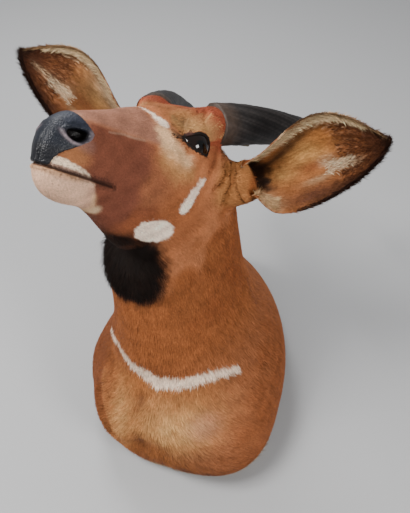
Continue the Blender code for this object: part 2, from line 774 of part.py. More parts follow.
def throat_locks(head, group):
    """Rows of dark locks under the jaw, hanging down the throat."""
    draw = random.Random(11)
    tree = surface_tree(head)
    locks = []
    for row, (height, length) in enumerate(THROAT_ROWS):
        for i in range(THROAT_LOCKS):
            share = (i + 0.5 * (row % 2)) / (THROAT_LOCKS - 0.5)
            angle = math.radians(THROAT_FROM + (THROAT_TO - THROAT_FROM) * share)
            outward = Vector((math.sin(angle), -math.cos(angle), 0.0))
            start = Vector((-0.020, -0.058, height + draw.uniform(-0.003, 0.003))) + outward * 0.4
            place, normal, _, _ = tree.ray_cast(start, -outward)
            ahead = lay_of(normal, Vector((draw.uniform(-0.15, 0.15), 0.0, -1.0)))
            locks.append(lock(place, ahead, normal, length * draw.uniform(0.85, 1.1),
                              0.0175, 0.0060, draw.uniform(0.003, 0.006), group))
    return locks


def crest_locks(shoulders, group):
    """A short crest down the middle of the withers."""
    draw = random.Random(12)
    tree = surface_tree(shoulders)
    locks = []
    for i in range(CREST_LOCKS):
        for side in (1, -1):
            height = CREST_FROM + (CREST_TO - CREST_FROM) * (i + 0.25 * (1 + side)) / (CREST_LOCKS - 0.5)
            start = Vector((0.006 * side, 0.6, height))
            place, normal, _, _ = tree.ray_cast(start, Vector((0.0, -1.0, 0.0)))
            ahead = lay_of(normal, Vector((0.10 * side, 0.0, -1.0)))
            locks.append(lock(place, ahead, normal, 0.030 * draw.uniform(0.9, 1.15),
                              0.0130, 0.0055, draw.uniform(0.006, 0.009), group))
    return locks


def ear_fringe(side, group):
    """Locks along an ear's lower edge and round its tip, rooted in the shell's edge."""
    draw = random.Random(13 + side)
    _, axis, _, _ = ear_frame(side)
    turn = HEAD.to_3x3()
    locks = []
    places = [(t, -1, 0.030) for t in FRINGE_LOW] + [(t, 1, 0.018) for t in FRINGE_HIGH]
    for along, edge, length in places:
        here = ear_point(side, along, edge)
        inner = ear_point(side, along, edge * 0.86)
        outward = (here - inner).normalized()
        tipward = (ear_point(side, min(along + 0.02, 0.985), edge) - here).normalized()
        facing = outward.cross(tipward).normalized()
        ahead = (outward * 0.45 + tipward * 0.75 + axis * 0.25).normalized()
        root = here - outward * 0.004
        locks.append(lock(HEAD @ root, turn @ ahead, turn @ facing, length * draw.uniform(0.9, 1.15),
                          0.0165 if edge < 0 else 0.0120, 0.0024, draw.uniform(-0.004, 0.004), group))
    return locks


def dress(thing, finish):
    thing.data.materials.clear()
    thing.data.materials.append(finish)
    thing.data.shade_smooth()
    thing.data.set_sharp_from_angle(angle=math.radians(50))


def build():
    clear_scene()
    mount = collection("bongo_shoulder_mount")
    tools = collection("cutters")
    coat = material("coat", COAT, 0.75)
    horn_finish = material("horn", (0.06, 0.05, 0.045), 0.45)
    nose_finish = material("nose", (0.02, 0.022, 0.028), 0.25)
    eye_finish = material("eye", (0.01, 0.007, 0.005), 0.05)
    wood = material("board_wood", (0.45, 0.30, 0.17), 0.7)

    head, neck, shoulders = part_flesh(make_flesh(mount), mount)
    open_roots(head, tools)
    head, eyes = fit_eyes(head, mount, tools)
    head, jaw, pad = part_muzzle(head, mount, tools)
    head = join_all("head", [head] + throat_locks(head, mount), mount, "MANIFOLD")
    crest = crest_locks(shoulders, mount)
    shoulders = join_all("shoulders", [shoulders] + crest, mount, "MANIFOLD")
    for thing in (head, neck, shoulders, jaw):
        dress(thing, coat)
    dress(pad, nose_finish)
    for eye in eyes:
        dress(eye, eye_finish)
    for side, name in ((1, "left"), (-1, "right")):
        ear = make_ear(side, "ear_" + name, mount)
        dress(join_all("ear_" + name, [ear] + ear_fringe(side, mount), mount, "MANIFOLD"), coat)
        horn = make_horn(side, "horn_" + name, mount)
        trim_horn(horn, side)
        dress(horn, horn_finish)
    dress(make_board(mount), wood)
    for cutter in list(tools.objects):
        bpy.data.objects.remove(cutter, do_unlink=True)


build()
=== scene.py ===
# %% [markdown]
# # Dressing a bongo shoulder mount
# The solids of this mount are a hide-covered form, two horns, two glass eyes and a back board.
# This lesson gives them their looks: one smooth skin over all the flesh, a coat of short hair laid
# along the body, longer locks on the throat, withers and ears, ribbed horns, wet-looking eyes
# and a pebbled nose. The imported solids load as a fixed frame, and their box is kept, because
# nothing that we add may change the size of the piece.

# %% Load the solids
import math
import bmesh
import bpy
import numpy as np
from mathutils import Matrix, Vector
from mathutils.bvhtree import BVHTree
from mathutils.kdtree import KDTree


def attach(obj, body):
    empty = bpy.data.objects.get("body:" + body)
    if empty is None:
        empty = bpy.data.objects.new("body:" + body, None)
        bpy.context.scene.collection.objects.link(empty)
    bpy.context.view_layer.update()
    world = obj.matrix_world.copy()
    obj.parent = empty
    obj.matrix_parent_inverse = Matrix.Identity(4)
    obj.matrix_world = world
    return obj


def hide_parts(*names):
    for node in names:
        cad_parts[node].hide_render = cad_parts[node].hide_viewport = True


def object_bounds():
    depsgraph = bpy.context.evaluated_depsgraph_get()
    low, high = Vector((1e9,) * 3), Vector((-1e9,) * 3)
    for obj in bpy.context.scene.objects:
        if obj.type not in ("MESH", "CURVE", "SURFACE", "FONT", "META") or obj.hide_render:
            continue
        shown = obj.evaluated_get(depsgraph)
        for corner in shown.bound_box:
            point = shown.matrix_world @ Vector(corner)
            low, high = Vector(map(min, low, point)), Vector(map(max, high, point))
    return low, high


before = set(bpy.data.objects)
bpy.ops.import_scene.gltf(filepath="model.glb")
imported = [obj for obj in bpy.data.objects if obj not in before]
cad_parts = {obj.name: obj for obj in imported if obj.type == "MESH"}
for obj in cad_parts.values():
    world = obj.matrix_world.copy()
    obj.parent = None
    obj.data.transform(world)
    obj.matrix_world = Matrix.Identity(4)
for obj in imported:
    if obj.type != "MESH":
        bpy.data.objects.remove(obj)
solid_low, solid_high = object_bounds()
solid_size = [round(high - low, 3) for low, high in zip(solid_low, solid_high)]
print("solids:", len(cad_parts), "nodes,", solid_size, "m")

# %% [markdown]
# The camera looks down at the mount from its left front, as a person standing over it would.
# A camera can be aimed with a constraint, but a plain matrix from three directions says exactly
# where it stands.

# %% Camera
CAMERA_PLACE = Vector((0.25572, -0.86111, 1.20138))
CAMERA_RIGHT = Vector((0.96463, 0.26359, 0.0))
CAMERA_UP = Vector((-0.18629, 0.68173, 0.70749))
CAMERA_AHEAD = Vector((-0.18649, 0.68247, -0.70672))

def new_piece(name, data):
    """A named object in the scene for a mesh, a lamp or a camera."""
    thing = bpy.data.objects.new(name, data)
    bpy.context.scene.collection.objects.link(thing)
    return thing

camera = new_piece("camera", bpy.data.cameras.new("camera"))
turn = Matrix((CAMERA_RIGHT, CAMERA_UP, -CAMERA_AHEAD)).transposed().to_4x4()
camera.matrix_world = Matrix.Translation(CAMERA_PLACE) @ turn
camera.data.lens = 45.0
camera.data.sensor_width = 36.0
bpy.context.scene.camera = camera
print("camera stands", round(CAMERA_PLACE.z, 2), "m above the floor")

# %% [markdown]
# Soft light flatters fur: a broad lamp gives each lock a gentle bright side and no hard edge.
# We use a key lamp almost a metre across, a weaker fill from the other side and a rim lamp
# behind, over a plain pale floor that catches the shadow. The world adds an even grey. A finish
# is a small graph of nodes, so two helpers make those for the floor and for all that follows.

# %% Floor and lights
FLOOR_REACH = 6.0
LAMP_AIM = Vector((0.0, -0.05, 0.35))
WARM_LIGHT, PLAIN_LIGHT = (1.0, 0.98, 0.95), (1.0, 1.0, 1.0)

def finish(name, roughness=0.6, **sockets):
    """A Principled finish with some of its sockets set."""
    made = bpy.data.materials.new(name)
    made.use_nodes = True
    shader = made.node_tree.nodes["Principled BSDF"]
    shader.inputs["Roughness"].default_value = roughness
    for socket, value in sockets.items():
        shader.inputs[socket.replace("_", " ")].default_value = value
    return made, shader

def node(made, kind, inputs=(), **settings):
    """Add a node, set it and plug values or links into it."""
    thing = made.node_tree.nodes.new(kind)
    for key, value in settings.items():
        setattr(thing, key, value)
    for socket, value in dict(inputs).items():
        if isinstance(value, bpy.types.NodeSocket):
            made.node_tree.links.new(value, thing.inputs[socket])
        else:
            thing.inputs[socket].default_value = value
    return thing

floor_mesh = bpy.data.meshes.new("studio_floor")
floor_corners = [(x * FLOOR_REACH, y * FLOOR_REACH, 0) for x, y in ((-1, -1), (1, -1), (1, 1), (-1, 1))]
floor_mesh.from_pydata(floor_corners, [], [(0, 1, 2, 3)])
floor = new_piece("studio_floor", floor_mesh)
floor_mesh.materials.append(finish("pale_floor", 0.7, Base_Color=(0.40, 0.405, 0.415, 1.0))[0])

for name, place, size, power, colour in (("key_lamp", (-1.2, -1.0, 2.5), 0.9, 92, WARM_LIGHT),
                                         ("fill_lamp", (1.9, -1.3, 1.6), 0.8, 46, WARM_LIGHT),
                                         ("rim_lamp", (-1.0, 1.3, 2.2), 0.9, 40, PLAIN_LIGHT)):
    light = bpy.data.lights.new(name, "AREA")
    light.size, light.energy, light.color = size, power, colour
    lamp = new_piece(name, light)
    lamp.location = place
    lamp.rotation_euler = (LAMP_AIM - Vector(place)).to_track_quat("-Z", "Y").to_euler()
world = bpy.data.worlds.new("studio")
bpy.context.scene.world = world
world.use_nodes = True
world.node_tree.nodes["Background"].inputs["Color"].default_value = (0.92, 0.93, 0.95, 1.0)
world.node_tree.nodes["Background"].inputs["Strength"].default_value = 0.36
print("three lamps and a floor")

# %% [markdown]
# Most of the detail is on the head, which is turned and tipped. It is far easier to place an
# eye or a lip along the head's own length than in the room, so the head gets a frame of its
# own: x is the animal's left, y its forehead side, and z leads to its nose.

# %% The head's own frame
def unit(vectors):
    """Directions of length one."""
    vectors = np.asarray(vectors, float)
    return vectors / np.maximum(np.linalg.norm(vectors, axis=-1, keepdims=True), 1e-12)

HEAD_PLACE = np.array((-0.033, -0.077, 0.626))
HEAD_SIDEWAYS = (0.969, -0.228, 0.096)
head_nose = unit((-0.228, -0.674, 0.702))
head_up = unit(np.cross(head_nose, HEAD_SIDEWAYS))
HEAD_TURN = np.stack([np.cross(head_up, head_nose), head_up, head_nose], axis=1)

def to_head(points):
    """Points of the room as the head's own coordinates."""
    return (np.asarray(points) - HEAD_PLACE) @ HEAD_TURN

def from_head(points):
    """The head's coordinates back in the room."""
    return np.asarray(points) @ HEAD_TURN.T + HEAD_PLACE

def step(low, high, values):
    """Zero below low, one above high, and a smooth rise between."""
    t = np.clip((np.asarray(values, float) - low) / (high - low), 0.0, 1.0)
    return t * t * (3 - 2 * t)

print("the nose points along", HEAD_TURN[:, 2].round(3))

# %% [markdown]
# A real mount has one hide, with no seam between head, neck and shoulders. The solids are
# parted by thin cuts, so we swell each a little until they overlap and let a voxel remesh melt
# them into one closed skin. The glass eyes go in too, so that the lids have a ball to lie on.

# %% Reading and moving the points of a mesh
def read(things, key, width=3, kind=float):
    """One property of many vertices or faces, as rows of numbers."""
    flat = np.empty(len(things) * width, kind)
    things.foreach_get(key, flat)
    return flat.reshape(-1, width) if width > 1 else flat

def points_of(mesh):
    """The vertices of a mesh as rows of numbers."""
    return read(mesh.vertices, "co")

def normals_of(mesh):
    """The smooth normal at each vertex."""
    return read(mesh.vertex_normals, "vector")

def move_points(mesh, points):
    """Put the vertices of a mesh at new places."""
    mesh.vertices.foreach_set("co", np.asarray(points, float).ravel())
    mesh.update()

def settle(thing):
    """Turn an object's modifiers into its own mesh."""
    graph = bpy.context.evaluated_depsgraph_get()
    mesh = bpy.data.meshes.new_from_object(thing.evaluated_get(graph))
    thing.modifiers.clear()
    thing.data = mesh

print("helpers for meshes")

# %% One closed skin from the flesh solids
FLESH = ("shoulders", "neck", "head", "lower_jaw", "nose_pad", "eye_left", "eye_right")
OVERLAP = 0.0006
SKIN_VOXEL = 0.0053

form = bmesh.new()
for name in FLESH:
    part = bmesh.new()
    part.from_mesh(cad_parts[name].data)
    bmesh.ops.remove_doubles(part, verts=part.verts[:], dist=1e-6)
    bmesh.ops.recalc_face_normals(part, faces=part.faces[:])
    part.normal_update()
    for vert in part.verts:
        vert.co += vert.normal * OVERLAP
    swollen = bpy.data.meshes.new("swollen")
    part.to_mesh(swollen)
    part.free()
    form.from_mesh(swollen)
    bpy.data.meshes.remove(swollen)
form_mesh = bpy.data.meshes.new("skin")
form.to_mesh(form_mesh)
form.free()
skin = new_piece("skin", form_mesh)
melt = skin.modifiers.new("melt", "REMESH")
melt.mode = "VOXEL"
melt.voxel_size = SKIN_VOXEL
soften = skin.modifiers.new("soften", "SMOOTH")
soften.factor = 0.5
soften.iterations = 4
settle(skin)
print("skin:", len(skin.data.vertices), "points")

# %% [markdown]
# A bongo's ear is a broad leaf rolled to a tube at its root. It could be sculpted, but a grid of
# points that runs from root to tip and from edge to edge follows the real cartilage: one number
# widens it, one cups it and one bends it.

# %% The sheet of an ear
EAR_ROOT = {1: (0.1190, -0.0160, -0.1120), -1: (-0.1135, 0.0030, -0.1030)}
EAR_AXIS = {1: (0.880, 0.405, 0.230), -1: (-0.790, 0.385, 0.470)}
EAR_FACE = {1: (0.20, -0.35, 0.90), -1: (0.52, -0.42, 0.74)}
EAR_LENGTH, EAR_LOWER, EAR_UPPER, EAR_STEM = 0.236, 0.066, 0.064, 0.031
EAR_DEEP, EAR_BEND, EAR_THICK = 0.055, 0.020, 0.0026
EAR_STEPS, EAR_ACROSS = 60, 38
EAR_INSIDE, EAR_END = -0.07, 0.985   # the sheet starts inside the head and stops short of a point

def ear_frame(side):
    """Root, length, width and facing directions of an ear, in the head's frame."""
    axis = unit(EAR_AXIS[side])
    face = np.array(EAR_FACE[side])
    face = unit(face - axis * (face @ axis))
    return np.array(EAR_ROOT[side]), axis, np.cross(axis, face) * -side, face

def ear_reach(along, across):
    """How far the ear's edge stands from its middle line."""
    inner = np.maximum(along, 1e-6)
    stem = EAR_STEM * (1 - inner) ** 4
    low_leaf = np.maximum(0.0, np.sin(math.pi * inner ** 0.62)) ** 0.6
    low = np.maximum(EAR_LOWER * low_leaf * (1 - 0.8 * np.exp(-inner / 0.07)), np.maximum(stem, 0.003))
    high = EAR_UPPER * np.maximum(0.0, np.sin(math.pi * inner ** 1.36)) + stem + 0.003
    return np.where(across < 0, low, high)

def ear_sheet(side, along, across):
    """Points on the middle sheet of an ear, in the room."""
    root, axis, width, face = ear_frame(side)
    inner = np.maximum(along, 0.0)
    deep = EAR_DEEP * np.maximum(1 - along, 0.0) ** 0.8 * (0.55 + 0.45 * np.minimum(1.0, inner * 6))
    arc = 1.15 + 1.25 * np.exp(-inner * 7.0)
    swing = across * arc
    out = ear_reach(along, across) * np.sin(swing) / np.sin(np.minimum(arc, math.pi / 2))
    forward = deep * (1 - np.cos(swing)) / (1 - np.cos(arc))
    bend = EAR_BEND * np.sin(math.pi * inner) + 0.5 * deep * np.exp(-inner * 6.0)
    folds = 0.0012 * np.cos(across * 17) * step(0.10, 0.35, along) * step(1.0, 0.7, along)
    local = (root + axis * (EAR_LENGTH * along)[..., None] + width * out[..., None]
             + face * (forward - bend + folds)[..., None])
    return from_head(local)

def ear_normal(side, along, across):
    """Which way the inside of the cup faces."""
    small = 1e-3
    run = ear_sheet(side, along + small, across) - ear_sheet(side, along - small, across)
    over = ear_sheet(side, along, across + small) - ear_sheet(side, along, across - small)
    return unit(np.cross(run, over)) * side

print("ears:", round(EAR_LENGTH * 100), "cm long and", round((EAR_LOWER + EAR_UPPER) * 100), "cm wide")

# %% [markdown]
# Ears, eyes and horns are all nets of points, so they share one way to join a net with faces
# and one to close it. Two copies of an ear's net, a few millimetres apart and closed round the
# edge, make a solid ear that a Boolean union can weld to the skin.

# %% Closed meshes from nets of points
def grid_faces(rows, columns, closed=False, first=0):
    """Faces of a net of points that are numbered row by row, and may close round on itself."""
    wide = columns if closed else columns + 1
    return [(first + i * wide + k, first + i * wide + (k + 1) % wide,
             first + (i + 1) * wide + (k + 1) % wide, first + (i + 1) * wide + k)
            for i in range(rows) for k in range(columns)]

def shade_smooth(mesh):
    """Let the light run over a mesh without showing its faces."""
    mesh.polygons.foreach_set("use_smooth", np.ones(len(mesh.polygons), bool))

def closed_mesh(name, points, faces):
    """A smooth mesh, with points that meet merged, wide faces cut and all faces turned outwards."""
    mesh = bpy.data.meshes.new(name)
    mesh.from_pydata(points.tolist(), [], faces)
    form = bmesh.new()
    form.from_mesh(mesh)
    bmesh.ops.remove_doubles(form, verts=form.verts[:], dist=1e-6)
    bmesh.ops.triangulate(form, faces=[face for face in form.faces if len(face.verts) > 4])
    bmesh.ops.recalc_face_normals(form, faces=form.faces[:])
    form.to_mesh(mesh)
    form.free()
    shade_smooth(mesh)
    return mesh

print("a net of 2 by 3 has", len(grid_faces(2, 3)), "faces")

# %% Ears welded to the skin
def make_ear(side):
    """A closed shell round the middle sheet, with its root inside the head."""
    along, across = np.meshgrid(np.linspace(EAR_INSIDE, EAR_END, EAR_STEPS + 1),
                                np.linspace(-1, 1, EAR_ACROSS + 1), indexing="ij")
    middle = ear_sheet(side, along, across)
    half = EAR_THICK / 2 * (1 - 0.55 * np.abs(across) ** 4)[..., None]
    facing = ear_normal(side, along, across)
    points = np.concatenate([middle + facing * half, middle - facing * half]).reshape(-1, 3)
    row, back = EAR_ACROSS + 1, (EAR_STEPS + 1) * (EAR_ACROSS + 1)
    faces = []
    for face, behind in zip(grid_faces(EAR_STEPS, EAR_ACROSS), grid_faces(EAR_STEPS, EAR_ACROSS, first=back)):
        faces += [face, behind[:1] + behind[:0:-1]]
    edge = (list(range(EAR_ACROSS)) + [i * row + EAR_ACROSS for i in range(EAR_STEPS)]
            + [EAR_STEPS * row + k for k in range(EAR_ACROSS, 0, -1)]
            + [i * row for i in range(EAR_STEPS, 0, -1)])
    faces += [(b, a, back + a, back + b) for a, b in zip(edge, edge[1:] + edge[:1])]
    return new_piece("ear_shell", closed_mesh("ear_shell", points, faces))

shells = [make_ear(side) for side in (1, -1)]
for shell in shells:
    weld = skin.modifiers.new("weld", "BOOLEAN")
    weld.operation = "UNION"
    weld.solver = "MANIFOLD"
    weld.object = shell
settle(skin)
for shell in shells:
    bpy.data.objects.remove(shell)
print("skin with ears:", len(skin.data.vertices), "points")

# %% [markdown]
# Lids, lips and nostrils are only a millimetre or two across, so the skin needs a finer net
# there. Subdividing everything would cost a million faces; instead the faces near the eyes,
# the muzzle and the ear roots are split, once, twice or three times, and smoothed. Wrinkles are
# bent lines, written with a few points of the head's frame and then laid on the skin.

# %% Lines on the skin
EYE_PLACE = np.array((0.0532, 0.0030, -0.0085))
EYE_RADIUS = 0.0272
MOUTH_LEVEL, MOUTH_CORNER = -0.0945, 0.1460

def line_gap(points, line):
    """How far each point is from a bent line."""
    best = np.full(len(points), 9.0)
    for a, b in zip(np.asarray(line[:-1], float), np.asarray(line[1:], float)):
        run = b - a
        t = np.clip((points - a) @ run / (run @ run), 0.0, 1.0)
        best = np.minimum(best, np.linalg.norm(points - a - t[:, None] * run, axis=1))
    return best

def skin_tree(thing):
    """The surface of an object, ready for finding its nearest point."""
    form = bmesh.new()
    form.from_mesh(thing.data)
    tree = BVHTree.FromBMesh(form)
    form.free()
    return tree

def snap(tree, line, widths=None, spacing=0.004):
    """A bent line of the head's frame, cut fine and laid on the surface, with its widths."""
    line = np.asarray(line, float)
    run = np.append(0, np.cumsum(np.linalg.norm(np.diff(line, axis=0), axis=1)))
    fine = np.linspace(0, run[-1], int(run[-1] / spacing) + 2)
    fine_line = np.stack([np.interp(fine, run, line[:, k]) for k in range(3)], axis=1)
    laid = to_head([tree.find_nearest(Vector(place))[0] for place in from_head(fine_line)])
    return (laid, np.interp(fine, run, widths)) if widths is not None else laid

def both(places):
    """A list of places on the animal's left, and the same on its right."""
    left = np.asarray(places, float)
    return left, left * (-1, 1, 1)

WRINKLES = (
    ((0.083, 0.006, -0.072), (0.086, -0.006, -0.071), (0.091, -0.020, -0.072), (0.087, -0.038, -0.071),
     (0.081, -0.049, -0.069)),
    ((0.089, 0.004, -0.082), (0.096, -0.014, -0.078), (0.102, -0.033, -0.076), (0.099, -0.044, -0.079),
     (0.093, -0.068, -0.092)),
    ((0.099, -0.001, -0.085), (0.106, -0.013, -0.079), (0.111, -0.028, -0.077), (0.118, -0.046, -0.086),
     (0.122, -0.055, -0.107)),
)

def wrinkles_on(tree):
    """The ear-base wrinkles of both sides, laid on the skin as it is now."""
    return [snap(tree, side) for line in WRINKLES for side in both(line)]

wrinkle_lines = wrinkles_on(skin_tree(skin))
print("wrinkles:", len(wrinkle_lines), "lines of", [len(line) for line in wrinkle_lines], "points")

# %% A finer net where the face needs it
def finer(mesh, wanted):
    """Split the faces whose middle is wanted, and smooth the points there."""
    form = bmesh.new()
    form.from_mesh(mesh)
    middles = np.array([face.calc_center_median() for face in form.faces])
    chosen = wanted(to_head(middles))
    form.faces.ensure_lookup_table()
    edges = {edge for i in np.flatnonzero(chosen) for edge in form.faces[i].edges}
    bmesh.ops.subdivide_edges(form, edges=list(edges), cuts=1, use_grid_fill=True)
    bmesh.ops.triangulate(form, faces=[face for face in form.faces if len(face.verts) > 4])
    is_near = wanted(to_head([vert.co for vert in form.verts]))
    near = [vert for vert, chosen in zip(form.verts, is_near) if chosen]
    for _ in range(2):
        bmesh.ops.smooth_vert(form, verts=near, factor=0.5, use_axis_x=True, use_axis_y=True, use_axis_z=True)
    form.to_mesh(mesh)
    form.free()

def near_eyes(places, radius):
    """Which points are near the opening of an eye."""
    openings = both(EYE_PLACE + (0.016, 0.003, 0.009))
    return np.min([np.linalg.norm(places - middle, axis=1) for middle in openings], axis=0) < radius

def near_wrinkles(places, gap):
    """Which points are near an ear-base wrinkle."""
    return np.min([line_gap(places, line) for line in wrinkle_lines], axis=0) < gap

def near_mouth(places, ahead, gap):
    """Which points are near the line of the mouth and ahead of a place."""
    return (places[:, 2] > ahead) & (np.abs(places[:, 1] - MOUTH_LEVEL) < gap)

def calm(thing, chosen, rounds):
    """Smooth the chosen points of an object."""
    group = thing.vertex_groups.new(name="calm")
    group.add([int(i) for i in np.flatnonzero(chosen)], 1.0, "REPLACE")
    smooth = thing.modifiers.new("calm", "SMOOTH")
    smooth.factor, smooth.iterations, smooth.vertex_group = 0.5, rounds, "calm"
    settle(thing)
    thing.vertex_groups.clear()

room = points_of(skin.data)
locks = (room[:, 2] > 0.39) & (room[:, 2] < 0.51) & (room[:, 1] < -0.13)
crest = (room[:, 1] > 0.05) & (np.abs(room[:, 0]) < 0.03) & (room[:, 2] > 0.03) & (room[:, 2] < 0.295)
calm(skin, locks, 24)
calm(skin, crest | near_eyes(to_head(room), 0.040), 14)
finer(skin.data, lambda p: near_eyes(p, 0.044) | (p[:, 2] > 0.130) | near_wrinkles(p, 0.012))
finer(skin.data, lambda p: near_eyes(p, 0.036) | (p[:, 2] > 0.175) | near_wrinkles(p, 0.006)
      | near_mouth(p, 0.138, 0.014))
finer(skin.data, lambda p: near_eyes(p, 0.029) | near_mouth(p, 0.141, 0.006))
print("finer skin:", len(skin.data.vertices), "points,",
      sum(len(face.vertices) - 2 for face in skin.data.polygons), "triangles")

# %% [markdown]
# An eyelid is a fold of skin that lies on the eyeball. We describe the opening between the lids
# by one line above and one below, in the eye's own frame, and pull each nearby point of the
# skin to the right distance from the ball's centre: under the glass inside the opening, a
# little over it at the lid's rim, and back to the cheek further out.

# %% Eyelids
LID_DEPTH, LID_RISE = 0.0072, 0.0027   # how far under the rim the glass shows, and the rim over the ball
LID_TOP = ((-0.0250, -0.001), (-0.0215, 0.0075), (-0.0140, 0.0135), (-0.0049, 0.0155), (0.0035, 0.0143),
           (0.0100, 0.0112), (0.0165, 0.0076), (0.0215, 0.0048), (0.0236, 0.0020))
LID_LOW = ((-0.0250, -0.001), (-0.0205, -0.0068), (-0.0130, -0.0095), (-0.0040, -0.0102), (0.0035, -0.0100),
           (0.0100, -0.0088), (0.0160, -0.0066), (0.0210, -0.0028), (0.0236, 0.0020))

def bell(gap, width):
    """One in the middle of a groove or ridge, falling to zero on both sides."""
    return np.exp(-(gap / width) ** 2)

def eye_frame(side):
    """Centre of an eye, and its directions to the nose, up the face and out, in the head's frame."""
    flip = np.array((side, 1, 1))
    out = unit((0.82, 0.14, 0.46)) * flip
    ahead = np.array((-0.42, 0.10, 0.90)) * flip
    ahead = unit(ahead - out * (ahead @ out))
    return EYE_PLACE * flip, ahead, unit(np.cross(out, ahead) * -side), out

def lid_gap(along, over):
    """Distance from the edge of the eye's opening, negative inside it."""
    fine = np.linspace(LID_TOP[0][0], LID_TOP[-1][0], 60)
    top, low = (np.interp(fine, *np.array(line).T) for line in (LID_TOP, LID_LOW))
    rim = np.concatenate([np.stack([fine, top], 1), np.stack([fine, low], 1)])
    places = np.stack([along, over], 1)
    gap = np.min(np.linalg.norm(places[:, None] - rim[None], axis=2), axis=1)
    inside = ((over < np.interp(along, *np.array(LID_TOP).T))
              & (over > np.interp(along, *np.array(LID_LOW).T))
              & (along > fine[0]) & (along < fine[-1]))
    return np.where(inside, -gap, gap)

def eye_places(places, side):
    """Which points are near an eye, their distance from its centre, and their place on its ball."""
    centre, ahead, over, out = eye_frame(side)
    offset = places - centre
    away = np.linalg.norm(offset, axis=1)
    near = np.flatnonzero((away < 0.060) & (offset @ out > 0.10 * away))
    ways = unit(offset[near])
    return near, away[near], ways @ ahead * EYE_RADIUS, ways @ over * EYE_RADIUS, ways

def shape_lids(places):
    """Pull the skin round each eye to its distance from the ball."""
    for side in (1, -1):
        centre = eye_frame(side)[0]
        near, away, along, over, ways = eye_places(places, side)
        gap = lid_gap(along, over)
        rim = (EYE_RADIUS + LID_RISE - LID_DEPTH * step(0.0002, 0.0022, -gap)
               + 0.0009 * bell(gap - 0.003, 0.002))
        fold = 0.0012 * bell(gap - 0.0075, 0.0013) * step(0.0, 0.008, over)
        outer = step(0.006, 0.017, gap)
        places[near] = centre + ways * ((rim - fold) * (1 - outer) + away * outer)[:, None]
    return places

places = shape_lids(to_head(points_of(skin.data)))
move_points(skin.data, from_head(places))
print("lids: openings", round((LID_TOP[-1][0] - LID_TOP[0][0]) * 1000), "mm long")

# %% [markdown]
# The other folds are grooves and ridges: along a line, the skin sinks or rises by a bell-shaped
# amount along its normal, the same as a sculptor's crease and inflate brushes but repeatable.
# Nostrils are pits, pushed straight in along their own axis, with a low rim round them.

# %% Where the nose, the nostrils and the mouth lie
NOSE_EDGE = ((-0.100, 0.2530), (-0.083, 0.2515), (-0.076, 0.2485), (-0.071, 0.2445), (-0.060, 0.2310),
             (-0.050, 0.215), (-0.041, 0.208), (-0.035, 0.212), (-0.030, 0.216), (-0.023, 0.221),
             (-0.018, 0.224), (0.030, 0.226))
NOSTRIL = np.array((0.0285, -0.0482, 0.2310))
NOSTRIL_LONG, NOSTRIL_HIGH, NOSTRIL_DEEP = 0.0165, 0.0082, 0.013

def nose_share(places):
    """One on the bare nose, zero on the hair, with the edge at one half."""
    edge = np.interp(places[:, 1], *np.array(NOSE_EDGE).T)
    above_lip = step(MOUTH_LEVEL - 0.0005, MOUTH_LEVEL + 0.0005, places[:, 1])
    return step(-0.0012, 0.0012, places[:, 2] - edge) * above_lip

def nostril_places(places, side):
    """Places along, across and out of a nostril, from its middle."""
    flip = np.array((side, 1, 1))
    along = unit((0.40, 0.16, -0.90)) * flip
    out = np.array((0.86, -0.02, 0.48)) * flip
    out = unit(out - along * (out @ along))
    offset = places - NOSTRIL * flip
    high = np.cross(out, along) * side
    long_way, high_way = offset @ along, offset @ (high if high[1] > 0 else -high)
    return long_way, high_way - 9.0 * long_way ** 2, offset @ out, out

def nostril_share(places, side):
    """How far out of a nostril's middle each point is: one at its rim."""
    along, over, out, _ = nostril_places(places, side)
    share = np.hypot(along / NOSTRIL_LONG, over / NOSTRIL_HIGH)
    return np.where(np.abs(out) < 0.022, share, 9.0)

def mouth_gap(places):
    """Distance from the line of the mouth."""
    past = np.maximum(MOUTH_CORNER - places[:, 2], 0.0)
    return np.where(places[:, 2] > 0.05, np.hypot(places[:, 1] - MOUTH_LEVEL + 0.35 * past, past), 9.0)

print("mouth: its corner is", round((NOSTRIL[2] - MOUTH_CORNER) * 100, 1), "cm behind the nostrils")

# %% Mouth, nostrils, wrinkles and chest
NOSE_CREASE = ((0.031, -0.030, 0.185), (0.033, -0.025, 0.159), (0.035, -0.023, 0.139))
CHEST_GROOVE = ((-0.024, -0.270, 0.200), (-0.022, -0.300, 0.130), (-0.024, -0.315, 0.064))
CHEST_HOLLOW = ((-0.118, -0.252, 0.146), (-0.094, -0.293, 0.130), (-0.076, -0.312, 0.104))
CHEST_RIDGE = ((-0.109, -0.230, 0.187), (-0.090, -0.275, 0.150), (-0.067, -0.310, 0.129))

LIP_GROOVE, NOSE_SPLIT, WRINKLE_DEEP = 0.0032, 0.0018, 0.0026

